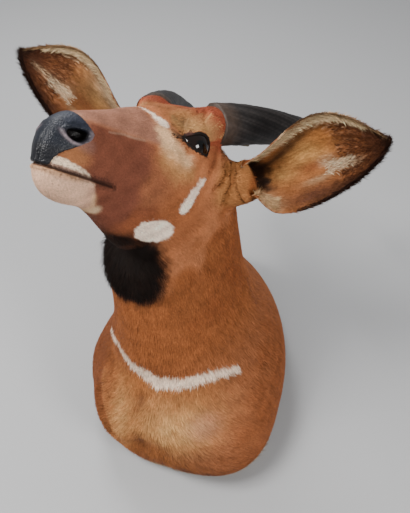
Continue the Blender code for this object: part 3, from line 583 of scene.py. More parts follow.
def shape_folds(mesh):
    """Press the lips, the nose, the wrinkles and the chest's hollows into the skin."""
    room, normals = points_of(mesh), normals_of(mesh)
    places = to_head(room)
    rise = np.zeros(len(room))
    face = np.flatnonzero((places[:, 2] > -0.14) & (places[:, 1] > -0.14) & (room[:, 2] > 0.45))
    local = places[face]
    gap = mouth_gap(local)
    rise[face] += -LIP_GROOVE * bell(gap, 0.0014) + 0.0009 * bell(gap - 0.0042, 0.0022)
    nose = nose_share(local)
    rise[face] += 0.0008 * nose - 0.0010 * (4 * nose * (1 - nose)) ** 2
    rise[face] -= NOSE_SPLIT * bell(local[:, 0], 0.0016) * nose * step(-0.050, -0.062, local[:, 1])
    for line in wrinkle_lines:
        fold = line_gap(local, line)
        rise[face] += 0.0009 * bell(fold - 0.0042, 0.0022) - WRINKLE_DEEP * bell(fold, 0.0017)
    for side in both(NOSE_CREASE):
        rise[face] -= 0.0022 * bell(line_gap(local, side), 0.0055)
    chest = np.flatnonzero((room[:, 2] < 0.30) & (room[:, 1] < -0.12))
    rise[chest] -= 0.0100 * bell(line_gap(room[chest], CHEST_GROOVE), 0.014)
    rise[chest] -= 0.0110 * bell(line_gap(room[chest], CHEST_HOLLOW), 0.016)
    rise[chest] += 0.0055 * bell(line_gap(room[chest], CHEST_RIDGE), 0.022)
    room += normals * rise[:, None]
    for side in (1, -1):
        share = nostril_share(to_head(room), side)
        inward = HEAD_TURN @ nostril_places(places[:1], side)[3]
        pit = NOSTRIL_DEEP * step(1.02, 0.62, share)
        room += normals * (0.0014 * bell(share - 1.18, 0.16))[:, None] - inward * pit[:, None]
    move_points(mesh, room)
    return np.abs(rise).max()

print("deepest fold:", round(shape_folds(skin.data) * 1000, 1), "mm")

# %% [markdown]
# Hair has depth. If it stood on the solids' own surface, the mount would come out larger than
# it is, so the skin first sinks by the depth of the coat: a millimetre on the face and four
# on the body. The hair then brings the outline back to where the solids have it.

# %% Room for the coat
def is_ear(places, side):
    """Which points belong to an ear: past its root and near its sheet."""
    root, axis, width, face = ear_frame(side)
    offset = places - root
    past = offset @ axis
    return (past > 0.004) & (past < 0.25) & (np.abs(offset @ width) < 0.085) & (np.abs(offset @ face) < 0.075)

FACE_COAT, BODY_COAT, EAR_COAT = 0.0011, 0.0030, 0.0002

def coat_depth(room, places):
    """How deep the coat is at each point."""
    depth = FACE_COAT + BODY_COAT * step(0.56, 0.44, room[:, 2] + 0.35 * room[:, 1] + 0.06)
    for side in (1, -1):
        depth = np.where(is_ear(places, side), EAR_COAT, depth)
    return depth * (1 - nose_share(places)) * step(0.012, 0.020, room[:, 2])

room, normals = points_of(skin.data), normals_of(skin.data)
depth = coat_depth(room, to_head(room))
move_points(skin.data, room - normals * depth[:, None])
print("coat depth:", round(depth.max() * 1000, 1), "mm at most")

# %% [markdown]
# The markings name the animal: a white chevron between the eyes, two white spots on each cheek,
# a black throat, a white crescent on the chest and dark-edged ears. An image could carry them,
# but it would need painting on an unwrap; a function from a place on the hide to its colour
# needs none, and the skin and every tuft of hair can ask it for the colour at their root.

# %% Tools for painting by place
def blend(colours, *marks):
    """Lay colours over others in turn, each by its share at each point."""
    for colour, share in marks:
        colours += (np.array(colour) - colours) * np.clip(share, 0.0, 1.0)[:, None]

def ripple(places, size, seed):
    """Smooth numbers that wander between about -1 and 1 over a distance."""
    draw = np.random.default_rng(seed)
    ways = unit(draw.normal(size=(10, 3))) * (2 * math.pi / size) * draw.uniform(0.6, 1.5, (10, 1))
    return np.sin(places @ ways.T + draw.uniform(0, 2 * math.pi, 10)).sum(axis=1) / 3.2

def spot(places, centre, radii, soft=0.25):
    """One inside an ellipsoid and zero outside, on both sides of the middle."""
    mirror = np.array(places)
    mirror[:, 0] = np.abs(mirror[:, 0])
    away = np.linalg.norm((mirror - np.array(centre)) / np.array(radii), axis=1)
    return step(1 + soft, 1 - soft, away)

def oval(across, up, middle, size):
    """A soft oval in two of a point's measures."""
    return np.exp(-((across - middle[0]) / size[0]) ** 2 - ((up - middle[1]) / size[1]) ** 2)

def stroke(places, line, widths, wander=0.0, seed=0, soft=0.0016):
    """One within a brush stroke along a line, whose half width changes on the way."""
    share = np.zeros(len(places))
    edge = ripple(places, 0.012, seed) * wander + ripple(places, 0.004, seed + 1) * wander * 0.5
    line = np.asarray(line, float)
    for a, b, first, last in zip(line[:-1], line[1:], widths[:-1], widths[1:]):
        run = b - a
        t = np.clip((places - a) @ run / (run @ run), 0.0, 1.0)
        gap = np.linalg.norm(places - a - t[:, None] * run, axis=1) + edge
        wide = first + (last - first) * t
        share = np.maximum(share, step(wide + soft, wide - soft, gap))
    return share

def head_reach(places):
    """How far a point lies towards the nose, along a slope that parts the head from the neck."""
    return places[:, 2] + 0.42 * (places[:, 1] + 0.04)

edge_share = spot(np.array([[1.0, 0.0, 0.0]]), (0, 0, 0), (1, 1, 1))[0]
print("a point on a spot's edge gets", round(float(edge_share), 2), "of its colour")

# %% [markdown]
# The palette comes first, in linear light, named for where each colour grows. Each mark is then
# a soft shape in the head's frame or the room's, laid over the last as a painter would, with a
# little wander at its border, because hair never ends on a clean line. Lines such as the
# chevron are cut fine and laid on the skin, so that their width is true wherever it curves.

# %% Palette and lines
CHESTNUT, RUST, NECK_SHADE = (0.320, 0.104, 0.034), (0.250, 0.074, 0.024), (0.225, 0.062, 0.019)
CHEEK, JAW, BLACK = (0.430, 0.160, 0.066), (0.200, 0.056, 0.024), (0.006, 0.003, 0.002)
MUZZLE_SIDE, MUZZLE_TOP, PALE_CHEEK_AND_SHEEN = (0.180, 0.058, 0.034), (0.320, 0.150, 0.100), (0.740, 0.480, 0.270)
BROW, HORN_RING, GOLD = (0.280, 0.104, 0.040), (0.250, 0.052, 0.025), (0.480, 0.240, 0.090)
WHITE, CREAM, CHIN = (0.920, 0.750, 0.610), (0.640, 0.470, 0.290), (0.700, 0.450, 0.310)
CHEST_TAN, CHEST_DARK, SHOULDER = (0.620, 0.350, 0.140), (0.150, 0.056, 0.032), (0.300, 0.105, 0.042)
CHEST_WARM, CHEST_PINK, NECK_FAR_SHADE = (0.340, 0.120, 0.034), (0.420, 0.220, 0.150), (0.150, 0.044, 0.015)
GROOVE_SHADE, HOLLOW_SHADE, RIDGE_HIGHLIGHT = (0.130, 0.045, 0.018), (0.110, 0.042, 0.018), (0.460, 0.200, 0.075)
CREST_WHITE, HEM, THROAT_EDGE = (0.760, 0.590, 0.460), (0.560, 0.400, 0.260), (0.075, 0.026, 0.013)
NOSE_ROOT, NOSE_LINE, TEMPLE = (0.360, 0.200, 0.130), (0.360, 0.210, 0.140), (0.420, 0.185, 0.062)
BEHIND_EYE, WRINKLE_SHADE = (0.190, 0.055, 0.022), (0.085, 0.026, 0.010)
CHIN_TOP, CHIN_EDGE, CHIN_BORDER = (0.620, 0.330, 0.150), (0.460, 0.260, 0.180), (0.700, 0.440, 0.250)
CHIN_FLECK, BY_NOSTRIL, UNDER_NOSTRIL = (0.300, 0.140, 0.100), (0.340, 0.140, 0.055), (0.280, 0.160, 0.130)
LIP, LIP_LOW, LIP_FLECK = (0.820, 0.640, 0.460), (0.360, 0.200, 0.160), (0.120, 0.060, 0.050)
LIP_SHADE, MOUTH_SHADE = (0.090, 0.030, 0.020), (0.050, 0.018, 0.012)
LID_GOLD, EYE_CORNER = (0.450, 0.250, 0.100), (0.050, 0.022, 0.014)
LID_DARK, EYE_HOLLOW_SHADE = (0.010, 0.007, 0.006), (0.050, 0.020, 0.016)

NECKLACE = ((-0.127, -0.159, 0.219), (-0.086, -0.216, 0.253), (-0.057, -0.243, 0.250),
            (-0.028, -0.253, 0.238), (0.004, -0.260, 0.224), (0.035, -0.256, 0.230),
            (0.076, -0.237, 0.234), (0.106, -0.210, 0.226), (0.136, -0.179, 0.210))
NECKLACE_WIDE = (0.0035, 0.0060, 0.0090, 0.0120, 0.0130, 0.0120, 0.0105, 0.0090, 0.0060)
SHOULDER_STREAK = ((0.112, -0.017, 0.291), (0.135, -0.026, 0.237))

tree = skin_tree(skin)
CHEVRON_LINE = snap(tree, ((0.000, 0.029, 0.081), (0.009, 0.028, 0.078), (0.018, 0.025, 0.072),
                           (0.027, 0.020, 0.066), (0.035, 0.015, 0.059)),
                    (0.0016, 0.0024, 0.0040, 0.0064, 0.0070))
TEAR_LINE = snap(tree, ((0.077, -0.037, -0.038), (0.0765, -0.053, -0.028), (0.073, -0.069, -0.021),
                        (0.068, -0.085, -0.020), (0.066, -0.090, -0.021)),
                 (0.0010, 0.0062, 0.0102, 0.0128, 0.0120))
# the line of the pale patch before the eye, partly the coat's colour and partly a painted highlight
PALE_SHEEN_LINE = snap(tree, ((0.041, 0.004, 0.066), (0.057, -0.016, 0.056), (0.066, -0.022, 0.036),
                        (0.072, -0.027, 0.018)), (0.012, 0.018, 0.016, 0.010))
TAN_LINE = snap(tree, ((0.060, -0.034, 0.064), (0.068, -0.046, 0.030), (0.074, -0.040, 0.000)),
                (0.012, 0.014, 0.008))
RIDGE_LINE = snap(tree, ((0.032, -0.027, 0.175), (0.034, -0.022, 0.145), (0.038, -0.022, 0.125),
                         (0.041, -0.019, 0.105)), (0.0012, 0.0016, 0.0016, 0.0014))
NECKLACE_LINE = snap(tree, to_head(np.array(NECKLACE) + (0.0, 0.0, 0.010)), NECKLACE_WIDE)
wrinkle_lines = wrinkles_on(tree)
print("lines laid on the skin:", 6 + len(wrinkle_lines))

# %% [markdown]
# The body is painted in the room's frame, from its large shades to its small marks: the neck's
# dark sides with painted shade on the far one, the tan and dark of the chest, painted shade in its
# groove and hollow with a painted highlight on its ridge, and last the white necklace.

# %% Neck, chest and shoulders
def paint_body(colours, room):
    """The neck's shades and painted shade on its far side, the chest's tan and dark with painted shade and
    highlight on its folds, the crest's stripe and the necklace.
    """
    x, y, z = room.T
    wander = ripple(room, 0.05, 1)
    front = step(-0.10, -0.22, y)
    neck = step(0.26, 0.36, z) * step(0.62, 0.50, z)
    tan = oval(x, z, (0.040, 0.165), (0.062, 0.040)) + 0.55 * oval(x, z, (-0.060, 0.150), (0.022, 0.060))
    low = step(0.075, 0.040, z + 0.012 * wander) * front * step(0.15, 0.09, np.abs(x - 0.01))
    stripe = step(0.10, 0.16, y) * step(0.020, 0.008, np.abs(x) + 0.004 * wander) * step(0.02, 0.06, z)
    blend(colours,
          (SHOULDER, step(0.30, 0.20, z)),
          (NECK_SHADE, 0.75 * step(0.03, 0.12, x + 0.02 * wander) * neck),
          (RUST, 0.7 * step(0.12, 0.20, x + 0.015 * wander) * step(0.30, 0.22, z)),
          # painted shade: the far side of the neck is darker
          (NECK_FAR_SHADE, 0.75 * step(-0.070, -0.125, x + 0.015 * wander)),
          (CHEST_WARM, 0.65 * front * step(0.245, 0.225, z) * step(0.14, 0.05, np.abs(x))),
          (CHEST_TAN, 0.85 * tan * front * (1 + 0.25 * ripple(room, 0.02, 2))),
          (CHEST_DARK, 0.45 * oval(x, z, (0.085, 0.118), (0.045, 0.035)) * front),
          (CHEST_DARK, 0.85 * low),
          # painted shade in the chest's groove and hollow, and a painted highlight along its ridge
          (GROOVE_SHADE, 0.70 * bell(line_gap(room, CHEST_GROOVE), 0.009)),
          (HOLLOW_SHADE, 0.80 * bell(line_gap(room, CHEST_HOLLOW), 0.014)),
          (RIDGE_HIGHLIGHT, 0.45 * bell(line_gap(room, CHEST_RIDGE), 0.008)),
          (CHEST_PINK, 0.50 * spot(room, (0.085, -0.262, 0.165), (0.030, 0.040, 0.022), 0.6) * (x > 0)),
          (CHEST_DARK, 0.55 * step(0.040, 0.016, z + 0.006 * wander)),
          # a dark streak on the left shoulder near the back edge
          (CHEST_DARK, 0.75 * bell(line_gap(room, SHOULDER_STREAK), 0.007)),
          (HEM, 0.8 * bell(z - 0.018, 0.004)),
          (BLACK, 0.85 * stripe),
          (CREST_WHITE, stroke(to_head(room), *NECKLACE_LINE, 0.0012, 5, 0.0016)))

def throat_gap(room):
    """Below one on the black throat, a rounded patch with its upper right corner cut off."""
    x, _, z = room.T
    across = (x + 0.043) / np.where(x > -0.043, 0.050, 0.080)
    patch_gap = (across ** 4 + ((z - 0.470) / 0.053) ** 4) ** 0.25
    return np.maximum(patch_gap, 1 + (0.81 * x + 0.587 * z - 0.284) / 0.040)

def paint_throat(colours, room):
    """The black of the throat, with a dark brown edge."""
    near = throat_gap(room) + 0.08 * ripple(room, 0.016, 8) + 0.05 * ripple(room, 0.006, 9)
    front = step(-0.06, -0.10, room[:, 1])
    blend(colours,
          (THROAT_EDGE, 0.8 * step(1.30, 0.95, near) * front),
          (BLACK, step(1.10, 0.76, near) * front))

print("painters for the body and the throat")

# %% [markdown]
# The face has the most marks, and they overlap, so their order counts: jaw and muzzle first,
# then brow and cheek, then the white chevron and tear mark. Most are the same on both sides,
# which costs nothing when the sideways coordinate loses its sign.

# %% Face
def paint_face(layer, places):
    """Jaw, muzzle, brow, a pale patch partly painted as highlight, horn roots, painted shade in the wrinkles
    and between horn and ear, chevron and tear mark.
    """
    x, y, z = places.T
    wide = np.abs(x)
    even = np.stack([wide, y, z], axis=1)
    wander = ripple(even, 0.035, 11)
    slope = y + 0.06 * (z - 0.15)
    muzzle = z + 0.006 * wander - 0.12 * (y + 0.05)
    bridge = z + 0.7 * np.maximum(wide - 0.02, 0)
    under = (step(0.118, 0.050, z + 0.010 * wander) * step(-0.135, -0.160, y + 0.10 * z + 0.006 * wander)
             * step(0.048, 0.026, wide + 0.004 * wander))
    temple = (step(0.078, 0.092, wide) * step(-0.050, -0.066, z)
              * step(-0.085, -0.060, y) * step(0.022, 0.010, y))
    blend(layer,
          (JAW, 0.8 * step(-0.085, -0.115, y + 0.008 * wander) * step(-0.01, 0.03, z)),
          (RUST, 0.6 * spot(even, (0.058, -0.100, -0.020), (0.030, 0.050, 0.060), 0.5)),
          (MUZZLE_SIDE, 0.95 * step(0.082, 0.105, muzzle) * step(-0.018, -0.026, slope)),
          (MUZZLE_SIDE, 0.5 * spot(even, (0.045, -0.075, 0.090), (0.030, 0.045, 0.060), 0.5)),
          (MUZZLE_TOP, 0.95 * step(0.070, 0.092, bridge) * step(-0.026, -0.017, slope)),
          (NOSE_ROOT, 0.5 * step(0.205, 0.222, z) * step(-0.040, -0.030, y)),
          (NOSE_LINE, 0.7 * stroke(even, *RIDGE_LINE)),
          (BROW, 0.85 * step(0.060, 0.035, z) * step(0.000, 0.025, y)),
          (GOLD, 0.55 * spot(even, (0.046, 0.036, 0.020), (0.020, 0.016, 0.030), 0.5)),
          # pale tan before the eye: partly the coat's own colour, partly a painted highlight
          (PALE_CHEEK_AND_SHEEN, 0.95 * stroke(even, *PALE_SHEEN_LINE, 0.002, 13, 0.010)),
          (GOLD, 0.70 * stroke(even, *TAN_LINE, 0.003, 14, 0.012)),
          (HORN_RING, 0.9 * spot(even, (0.062, 0.055, -0.048), (0.050, 0.050, 0.050), 0.25)),
          (HORN_RING, 0.7 * spot(even, (0.000, 0.060, -0.045), (0.040, 0.030, 0.035), 0.4)),
          (TEMPLE, 0.80 * temple),
          # painted shade: black between the horn's root and the ear's root
          (BLACK, 0.9 * spot(even, (0.080, 0.020, -0.088), (0.016, 0.016, 0.018), 0.5)),
          (BEHIND_EYE, 0.80 * spot(even, (0.078, -0.004, -0.045), (0.010, 0.024, 0.010), 0.6)),
          # painted shade along the ear-base wrinkles, which are also pressed into the skin
          *((WRINKLE_SHADE, 0.85 * bell(line_gap(places, line), 0.0022)) for line in wrinkle_lines),
          (WHITE, stroke(even, *CHEVRON_LINE, 0.0010, 15)),
          (WHITE, stroke(even, *TEAR_LINE, 0.0008, 16)),
          (BLACK, 0.97 * under),
          (CREAM, 0.80 * spot(even, (0.014, -0.134, 0.141), (0.014, 0.012, 0.011), 0.45)))

print("painter for the face")

# %% Mouth and chin
LIP_BAND = ((0.196, 0.205, 0.216, 0.230, 0.241, 0.262), (0.000, 0.0055, 0.0095, 0.0125, 0.0140, 0.0150))

def paint_mouth(layer, places):
    """The pale chin, the white of the upper lip with its flecks, and the dark line between."""
    x, y, z = places.T
    even = np.stack([np.abs(x), y, z], axis=1)
    wander, grain = ripple(even, 0.035, 11), ripple(even, 0.0028, 22)
    chin = z - 0.187 - 1.2 * (y + 0.097) + 0.003 * wander
    below = step(MOUTH_LEVEL + 0.001, MOUTH_LEVEL - 0.001, y) * step(-0.152, -0.140, y)
    chin_edge = step(0.035, 0.005, chin) * step(-0.008, 0.004, chin)
    band = np.interp(z, *LIP_BAND)
    height = y - MOUTH_LEVEL + 0.0012 * ripple(even, 0.008, 18)
    lip = (step(band + 0.0014, band - 0.0014, height) * step(MOUTH_LEVEL - 0.001, MOUTH_LEVEL + 0.001, y)
           * (z > 0.19))
    gap = mouth_gap(places)
    blend(layer,
          (CHIN, step(-0.006, 0.006, chin) * below),
          (CHIN_TOP, 0.55 * below * step(-0.106, -0.098, y) * step(0.205, 0.225, z)),
          (CHIN_EDGE, 0.60 * below * chin_edge * step(-0.100, -0.106, y)),
          (CHIN_BORDER, 0.70 * below * bell(chin + 0.001, 0.006) * step(-0.106, -0.114, y)),
          (CHIN_FLECK, 0.55 * step(0.9, 1.5, grain) * below * step(-0.006, 0.006, chin)),
          (BY_NOSTRIL, 0.75 * spot(even, (0.030, -0.073, 0.232), (0.022, 0.014, 0.022), 0.6)),
          (UNDER_NOSTRIL, 0.45 * spot(even, (0.040, -0.055, 0.222), (0.014, 0.010, 0.014), 0.6)),
          (LIP, 0.95 * lip),
          (LIP_LOW, 0.75 * lip * step(0.62, 0.30, height / np.maximum(band, 0.001))),
          (LIP_FLECK, 0.70 * lip * step(0.5, 1.1, grain)),
          (LIP_SHADE, 0.70 * step(0.208, 0.196, z) * step(0.148, 0.160, z) * bell(height - 0.0045, 0.0045)),
          (BLACK, 0.9 * step(0.0026, 0.0012, gap) * (z > 0.10)),
          (MOUTH_SHADE, 0.55 * step(0.0075, 0.0025, gap + 0.002 * ripple(even, 0.006, 19)) * (z > 0.12)))

print("painter for the mouth: the lip's white is up to", round(max(LIP_BAND[1]) * 1000), "mm high")

# %% Lids, cheek spot and the whole head
# The cheek spot's middle, and its two axes in radii of the spot per metre.
SPOT_MIDDLE = np.array((0.040, -0.138, 0.006))
SPOT_LONG, SPOT_HIGH = np.array((579, 184, -274)) / 19.0, np.array((134, -641, -156)) / 13.0

def paint_eyes(colours, places):
    """The white cheek spot, the dark rim and gold skin of the lids, and painted shade in the hollow before
    the eye.
    """
    x, y, z = places.T
    even = np.stack([np.abs(x), y, z], axis=1)
    offset = even - SPOT_MIDDLE
    cheek = np.hypot(offset @ SPOT_LONG, offset @ SPOT_HIGH) + 0.03 * ripple(even, 0.010, 17)
    blend(colours, (WHITE, step(1.05, 0.96, cheek) * step(0.012, 0.018, even[:, 0]) * step(-0.10, -0.08, z)))
    for side in (1, -1):
        near, _, along, lift, _ = eye_places(places, side)
        gap = lid_gap(along, lift)
        part = colours[near]
        blend(part,
              (LID_GOLD, 0.85 * bell(gap - 0.0085, 0.0045) * step(-0.004, 0.006, lift)),
              (EYE_CORNER, 0.8 * bell(gap - 0.012, 0.004) * step(0.012, 0.022, along)),
              (LID_DARK, step(0.0046, 0.0022, gap + 0.0008 * ripple(places[near], 0.005, 21))))
        colours[near] = part
    # painted shade: the hollow in front of and above the eye is darkened, laid on twice
    hollow_shade = 0.85 * spot(even, (0.0585, 0.0200, 0.0240), (0.0085, 0.0075, 0.0090), 0.6)
    blend(colours, (EYE_HOLLOW_SHADE, hollow_shade), (EYE_HOLLOW_SHADE, hollow_shade))

def paint_head(colours, room, places, on_head):
    """The whole head, laid over the body's colours by how much each point is head."""
    layer = np.zeros_like(colours) + CHEEK
    paint_face(layer, places)
    paint_mouth(layer, places)
    colours += (layer - colours) * on_head[:, None]
    paint_throat(colours, room)
    paint_eyes(colours, places)

print("painters for the head")

# %% [markdown]
# An ear is a sheet, so its marks are placed by how far they lie along and across it. A search
# tree over the sheet tells each point of the hide where on the ear it is, and the hide's own
# normal tells whether it lies inside the cup or on the back.

# %% Where a point lies on an ear
EAR_GRID = (90, 50)
EAR_NEAR = 0.006
ear_trees = {}

def ear_tree(side):
    """A search tree over the sheet of an ear, made once."""
    if side not in ear_trees:
        along, across = np.meshgrid(np.linspace(0, EAR_END, EAR_GRID[0]),
                                    np.linspace(-1, 1, EAR_GRID[1]), indexing="ij")
        along, across = along.ravel(), across.ravel()
        sheet = ear_sheet(side, along, across)
        tree = KDTree(len(sheet))
        for i, place in enumerate(sheet):
            tree.insert(place, i)
        tree.balance()
        ear_trees[side] = (tree, along, across, ear_normal(side, along, across))
    return ear_trees[side]

def ear_marks(room, places, normals, side):
    """Points on an ear, with how far along and across they lie and whether they face into the cup."""
    tree, along, across, facing = ear_tree(side)
    near = np.flatnonzero(is_ear(places, side))
    found = [tree.find(room[i]) for i in near]
    index = np.array([hit[1] for hit in found], int)
    kept = np.array([hit[2] for hit in found]) < EAR_NEAR
    near, index = near[kept], index[kept]
    inward = np.einsum("ij,ij->i", normals[near], facing[index]) > 0
    return near, along[index], across[index], inward

print("ears are searched on", EAR_GRID[0] * EAR_GRID[1], "points each")

# %% Colours of the ears
def sheet_band(along, across, start, end, wide):
    """A soft band on the sheet of an ear from one place to another."""
    run = np.array(end) - np.array(start)
    t = np.clip(((along - start[0]) * run[0] + (across - start[1]) * run[1]) / (run @ run), 0, 1)
    return bell(np.hypot((along - start[0] - t * run[0]) * 2.4, across - start[1] - t * run[1]), wide)

EAR_BACK, EAR_IN, EAR_RIM = (0.250, 0.080, 0.026), (0.270, 0.098, 0.032), (0.055, 0.020, 0.009)
EAR_UMBER, EAR_EDGE_TAN, EAR_ROLL_SHADOW = (0.090, 0.038, 0.015), (0.360, 0.135, 0.042), (0.060, 0.024, 0.010)
EAR_FOLD_SHADE, EAR_OUTER, EAR_THREAD = (0.130, 0.055, 0.020), (0.150, 0.050, 0.019), (0.420, 0.220, 0.110)
EAR_LOW_EDGE, EAR_TIP = (0.055, 0.020, 0.010), (0.028, 0.012, 0.008)
EAR_PATCHES = (((0.500, 0.270, 0.090), 0.80, (0.42, 0.20), (0.17, 0.28)),
               ((0.350, 0.135, 0.036), 0.75, (0.58, 0.38), (0.10, 0.28)),
               ((0.270, 0.080, 0.028), 0.85, (0.46, -0.12), (0.13, 0.10)),
               ((0.095, 0.036, 0.020), 0.92, (0.42, -0.72), (0.24, 0.26)),
               ((0.420, 0.270, 0.150), 0.60, (0.46, -0.40), (0.10, 0.06)),
               ((0.420, 0.230, 0.080), 0.70, (0.22, -0.10), (0.10, 0.16)))
EAR_STREAK = {1: ((0.54, -0.12), (0.75, -0.34)), -1: ((0.62, -0.16), (0.88, -0.20))}

def paint_cup(side, along, across, wander, streak):
    """The inside of an ear: gold and rust in the cup, painted shade black at its root and dark under its
    rolled edge, cream at its edges.
    """
    right = float(side < 0)
    outer = step(0.56, 0.72, along + 0.03 * wander + 0.05 * streak - 0.03 * across)
    top_edge = step(0.56, 0.78, across + 0.14 * streak)
    low_edge = step(0.56, 0.84, -across + 0.08 * wander + 0.05 * streak)
    cup = np.zeros((len(along), 3)) + EAR_IN
    blend(cup,
          *((colour, amount * oval(along, across, middle, size) * (1 + 0.25 * streak))
            for colour, amount, middle, size in EAR_PATCHES),
          (EAR_UMBER, 0.80 * right * oval(along, across, (0.52, 0.05), (0.30, 0.50))),
          (CREAM, 0.90 * step(0.70, 0.84, across + 0.05 * streak) * step(0.46, 0.36, along + 0.02 * wander)),
          (EAR_EDGE_TAN, 0.75 * sheet_band(along, across, (0.06, 0.62), (0.34, 0.74), 0.07)),
          # painted shadow of the rolled upper edge, running from the root up the cup under its fold
          (EAR_ROLL_SHADOW, 0.92 * sheet_band(along, across, (0.10, 0.26), (0.38, 0.56), 0.17)),
          (EAR_FOLD_SHADE, 0.80 * sheet_band(along, across, (0.34, 0.56), (0.56, 0.68), 0.15)),
          (EAR_OUTER, 0.90 * outer),
          (EAR_THREAD, 0.40 * outer * np.clip(streak, 0, 1) * step(0.92, 0.75, along)),
          (CREAM, 0.80 * top_edge * step(0.50, 0.60, along) * step(0.93, 0.82, along)),
          (CREAM, 0.95 * oval(along, across, (0.09, -0.80), (0.085, 0.24)) * (0.70 + 0.30 * streak)),
          (EAR_LOW_EDGE, 0.90 * low_edge * step(0.34, 0.60, along)),
          (EAR_TIP, 0.92 * step(0.80, 0.95, along + 0.05 * streak)),
          (CREAM, 0.95 * sheet_band(along, across, *EAR_STREAK[side], 0.12) * (0.60 + 0.40 * streak)),
          (CREAM, 0.75 * right * oval(along, across, (0.30, 0.62), (0.20, 0.30)) * (0.75 + 0.25 * streak)),
          # painted shade: the opening at the ear's root is black
          (BLACK, 0.97 * step(0.19, 0.07, along + 0.02 * wander) * step(0.72, 0.42, np.abs(across - 0.08))))
    return cup

def paint_ears(colours, room, places, normals):
    """Both ears, with their cups, their dark rims and fine streaks from root to tip."""
    for side in (1, -1):
        near, along, across, inward = ear_marks(room, places, normals, side)
        local = room[near]
        wander, fine = ripple(local, 0.018, 31), ripple(local, 0.006, 32)
        turn = across * (1.25 - 0.5 * along)
        streak = 0.5 * np.sin(turn * 62 + 1.5 * wander) + 0.5 * np.sin(turn * 131 + fine + 2 * wander)
        part = np.zeros((len(near), 3)) + EAR_BACK
        part[inward] = paint_cup(side, along, across, wander, streak)[inward]
        low_rim = step(0.90, 0.965, -across + 0.03 * fine) * step(0.22, 0.40, along)
        top_rim = step(0.95, 0.985, across + 0.02 * fine) * step(0.40, 0.50, along) * step(0.72, 0.62, along)
        tip_rim = step(0.90, 0.97, along + 0.012 * fine)
        blend(part, (EAR_RIM, 0.9 * np.maximum(np.maximum(low_rim, top_rim), tip_rim)))
        part *= (1 + (0.14 + 0.22 * step(0.50, 0.70, along)) * streak)[:, None]
        colours[near] = part

print("painter for the ears, with", len(EAR_PATCHES), "patches in each cup")

# %% All markings together
def markings(room, normals):
    """The colour of the hide at each point."""
    places = to_head(room)
    colours = np.zeros((len(room), 3)) + CHESTNUT
    paint_body(colours, room)
    behind = head_reach(places) - 0.018 * ripple(room, 0.05, 3)
    on_head = step(-0.150, -0.105, behind) * step(0.40, 0.44, room[:, 2])
    paint_head(colours, room, places, on_head)
    paint_ears(colours, room, places, normals)
    return np.clip(colours * (1 + 0.10 * ripple(room, 0.030, 4))[:, None], 0.002, 0.95)

def set_tint(mesh, colours):
    """Store a colour for each vertex."""
    layer = mesh.attributes.new("tint", "FLOAT_COLOR", "POINT")
    layer.data.foreach_set("color", np.concatenate([colours, np.ones((len(colours), 1))], axis=1).ravel())

room, normals = points_of(skin.data), normals_of(skin.data)
skin_colours = markings(room, normals)
print("painted", len(room), "points, mean colour", skin_colours.mean(axis=0).round(3))

# %% [markdown]
# The hide's colour is read from its points, streaked by a fine noise and raised by it as bump,
# so that the skin between two tufts still looks like hair. The same graph, with other numbers,
# serves the nose, the eyes, the horns and the board, so one helper builds it.

# %% Finish of the hide
def grained(made, shader, colour, scale, dark, light, bump=0.0, stretch=(1.0, 1.0, 1.0), detail=4.0):
    """Vary a colour by a noise that can also raise the surface."""
    where = node(made, "ShaderNodeTexCoord")
    placed = node(made, "ShaderNodeMapping", {"Vector": where.outputs["Object"], "Scale": stretch})
    grain = node(made, "ShaderNodeTexNoise", {"Vector": placed.outputs["Vector"], "Scale": scale,
                                              "Detail": detail})
    shade = node(made, "ShaderNodeMapRange", {"Value": grain.outputs["Fac"], "From Min": 0.3, "From Max": 0.7,
                                              "To Min": dark, "To Max": light})
    mixed = node(made, "ShaderNodeVectorMath", {0: colour, "Scale": shade.outputs["Result"]},
                 operation="SCALE")
    made.node_tree.links.new(mixed.outputs["Vector"], shader.inputs["Base Color"])
    if bump:
        raised = node(made, "ShaderNodeBump", {"Height": grain.outputs["Fac"], "Strength": 0.5,
                                               "Distance": bump})
        made.node_tree.links.new(raised.outputs["Normal"], shader.inputs["Normal"])

def tinted(name, roughness, shine, scale, spread, bump=0.0):
    """A finish that takes its colour from the tint of the points."""
    made, shader = finish(name, roughness, Specular_IOR_Level=shine)
    tint = node(made, "ShaderNodeVertexColor", layer_name="tint")
    grained(made, shader, tint.outputs["Color"], scale, 1.0 - spread, 1.0 + spread, bump)
    return made, shader

hide_finish = tinted("hide_with_short_hair", 0.75, 0.12, 420.0, 0.22, 0.0012)[0]
hair_finish = tinted("coat_hair", 0.60, 0.10, 260.0, 0.15)[0]
print("finishes:", hide_finish.name, "and", hair_finish.name)

# %% [markdown]
# The bare nose is part of the same skin, so that its edge fits to the last point, but it is
# another material with its own piece. We paint the skin first, then lift the nose's faces out.

# %% The nose as its own piece
def lift_out(thing, chosen, name):
    """Move some faces of an object to a new one."""
    made = []
    for keep in (True, False):
        form = bmesh.new()
        form.from_mesh(thing.data)
        form.faces.ensure_lookup_table()
        bmesh.ops.delete(form, geom=[form.faces[i] for i in np.flatnonzero(chosen != keep)], context="FACES")
        mesh = bpy.data.meshes.new(name if keep else thing.name)
        form.to_mesh(mesh)
        form.free()
        made.append(mesh)
    thing.data = made[1]
    return new_piece(name, made[0])

set_tint(skin.data, skin_colours)
shade_smooth(skin.data)
bare = nose_share(to_head(read(skin.data.polygons, "center"))) > 0.5
nose = lift_out(skin, bare, "nose_skin")
skin.data.materials.append(hide_finish)
print("nose:", len(nose.data.polygons), "faces; skin:", len(skin.data.polygons), "faces")

# %% Finish of the nose
NOSE_BLACK, NOSE_BLUE_AND_SHEEN, NOSE_LOW = (0.008, 0.010, 0.016), (0.028, 0.032, 0.048), (0.007, 0.007, 0.009)
NOSTRIL_MAUVE, NOSTRIL_PIT_SHADE = (0.190, 0.150, 0.165), (0.004, 0.003, 0.003)

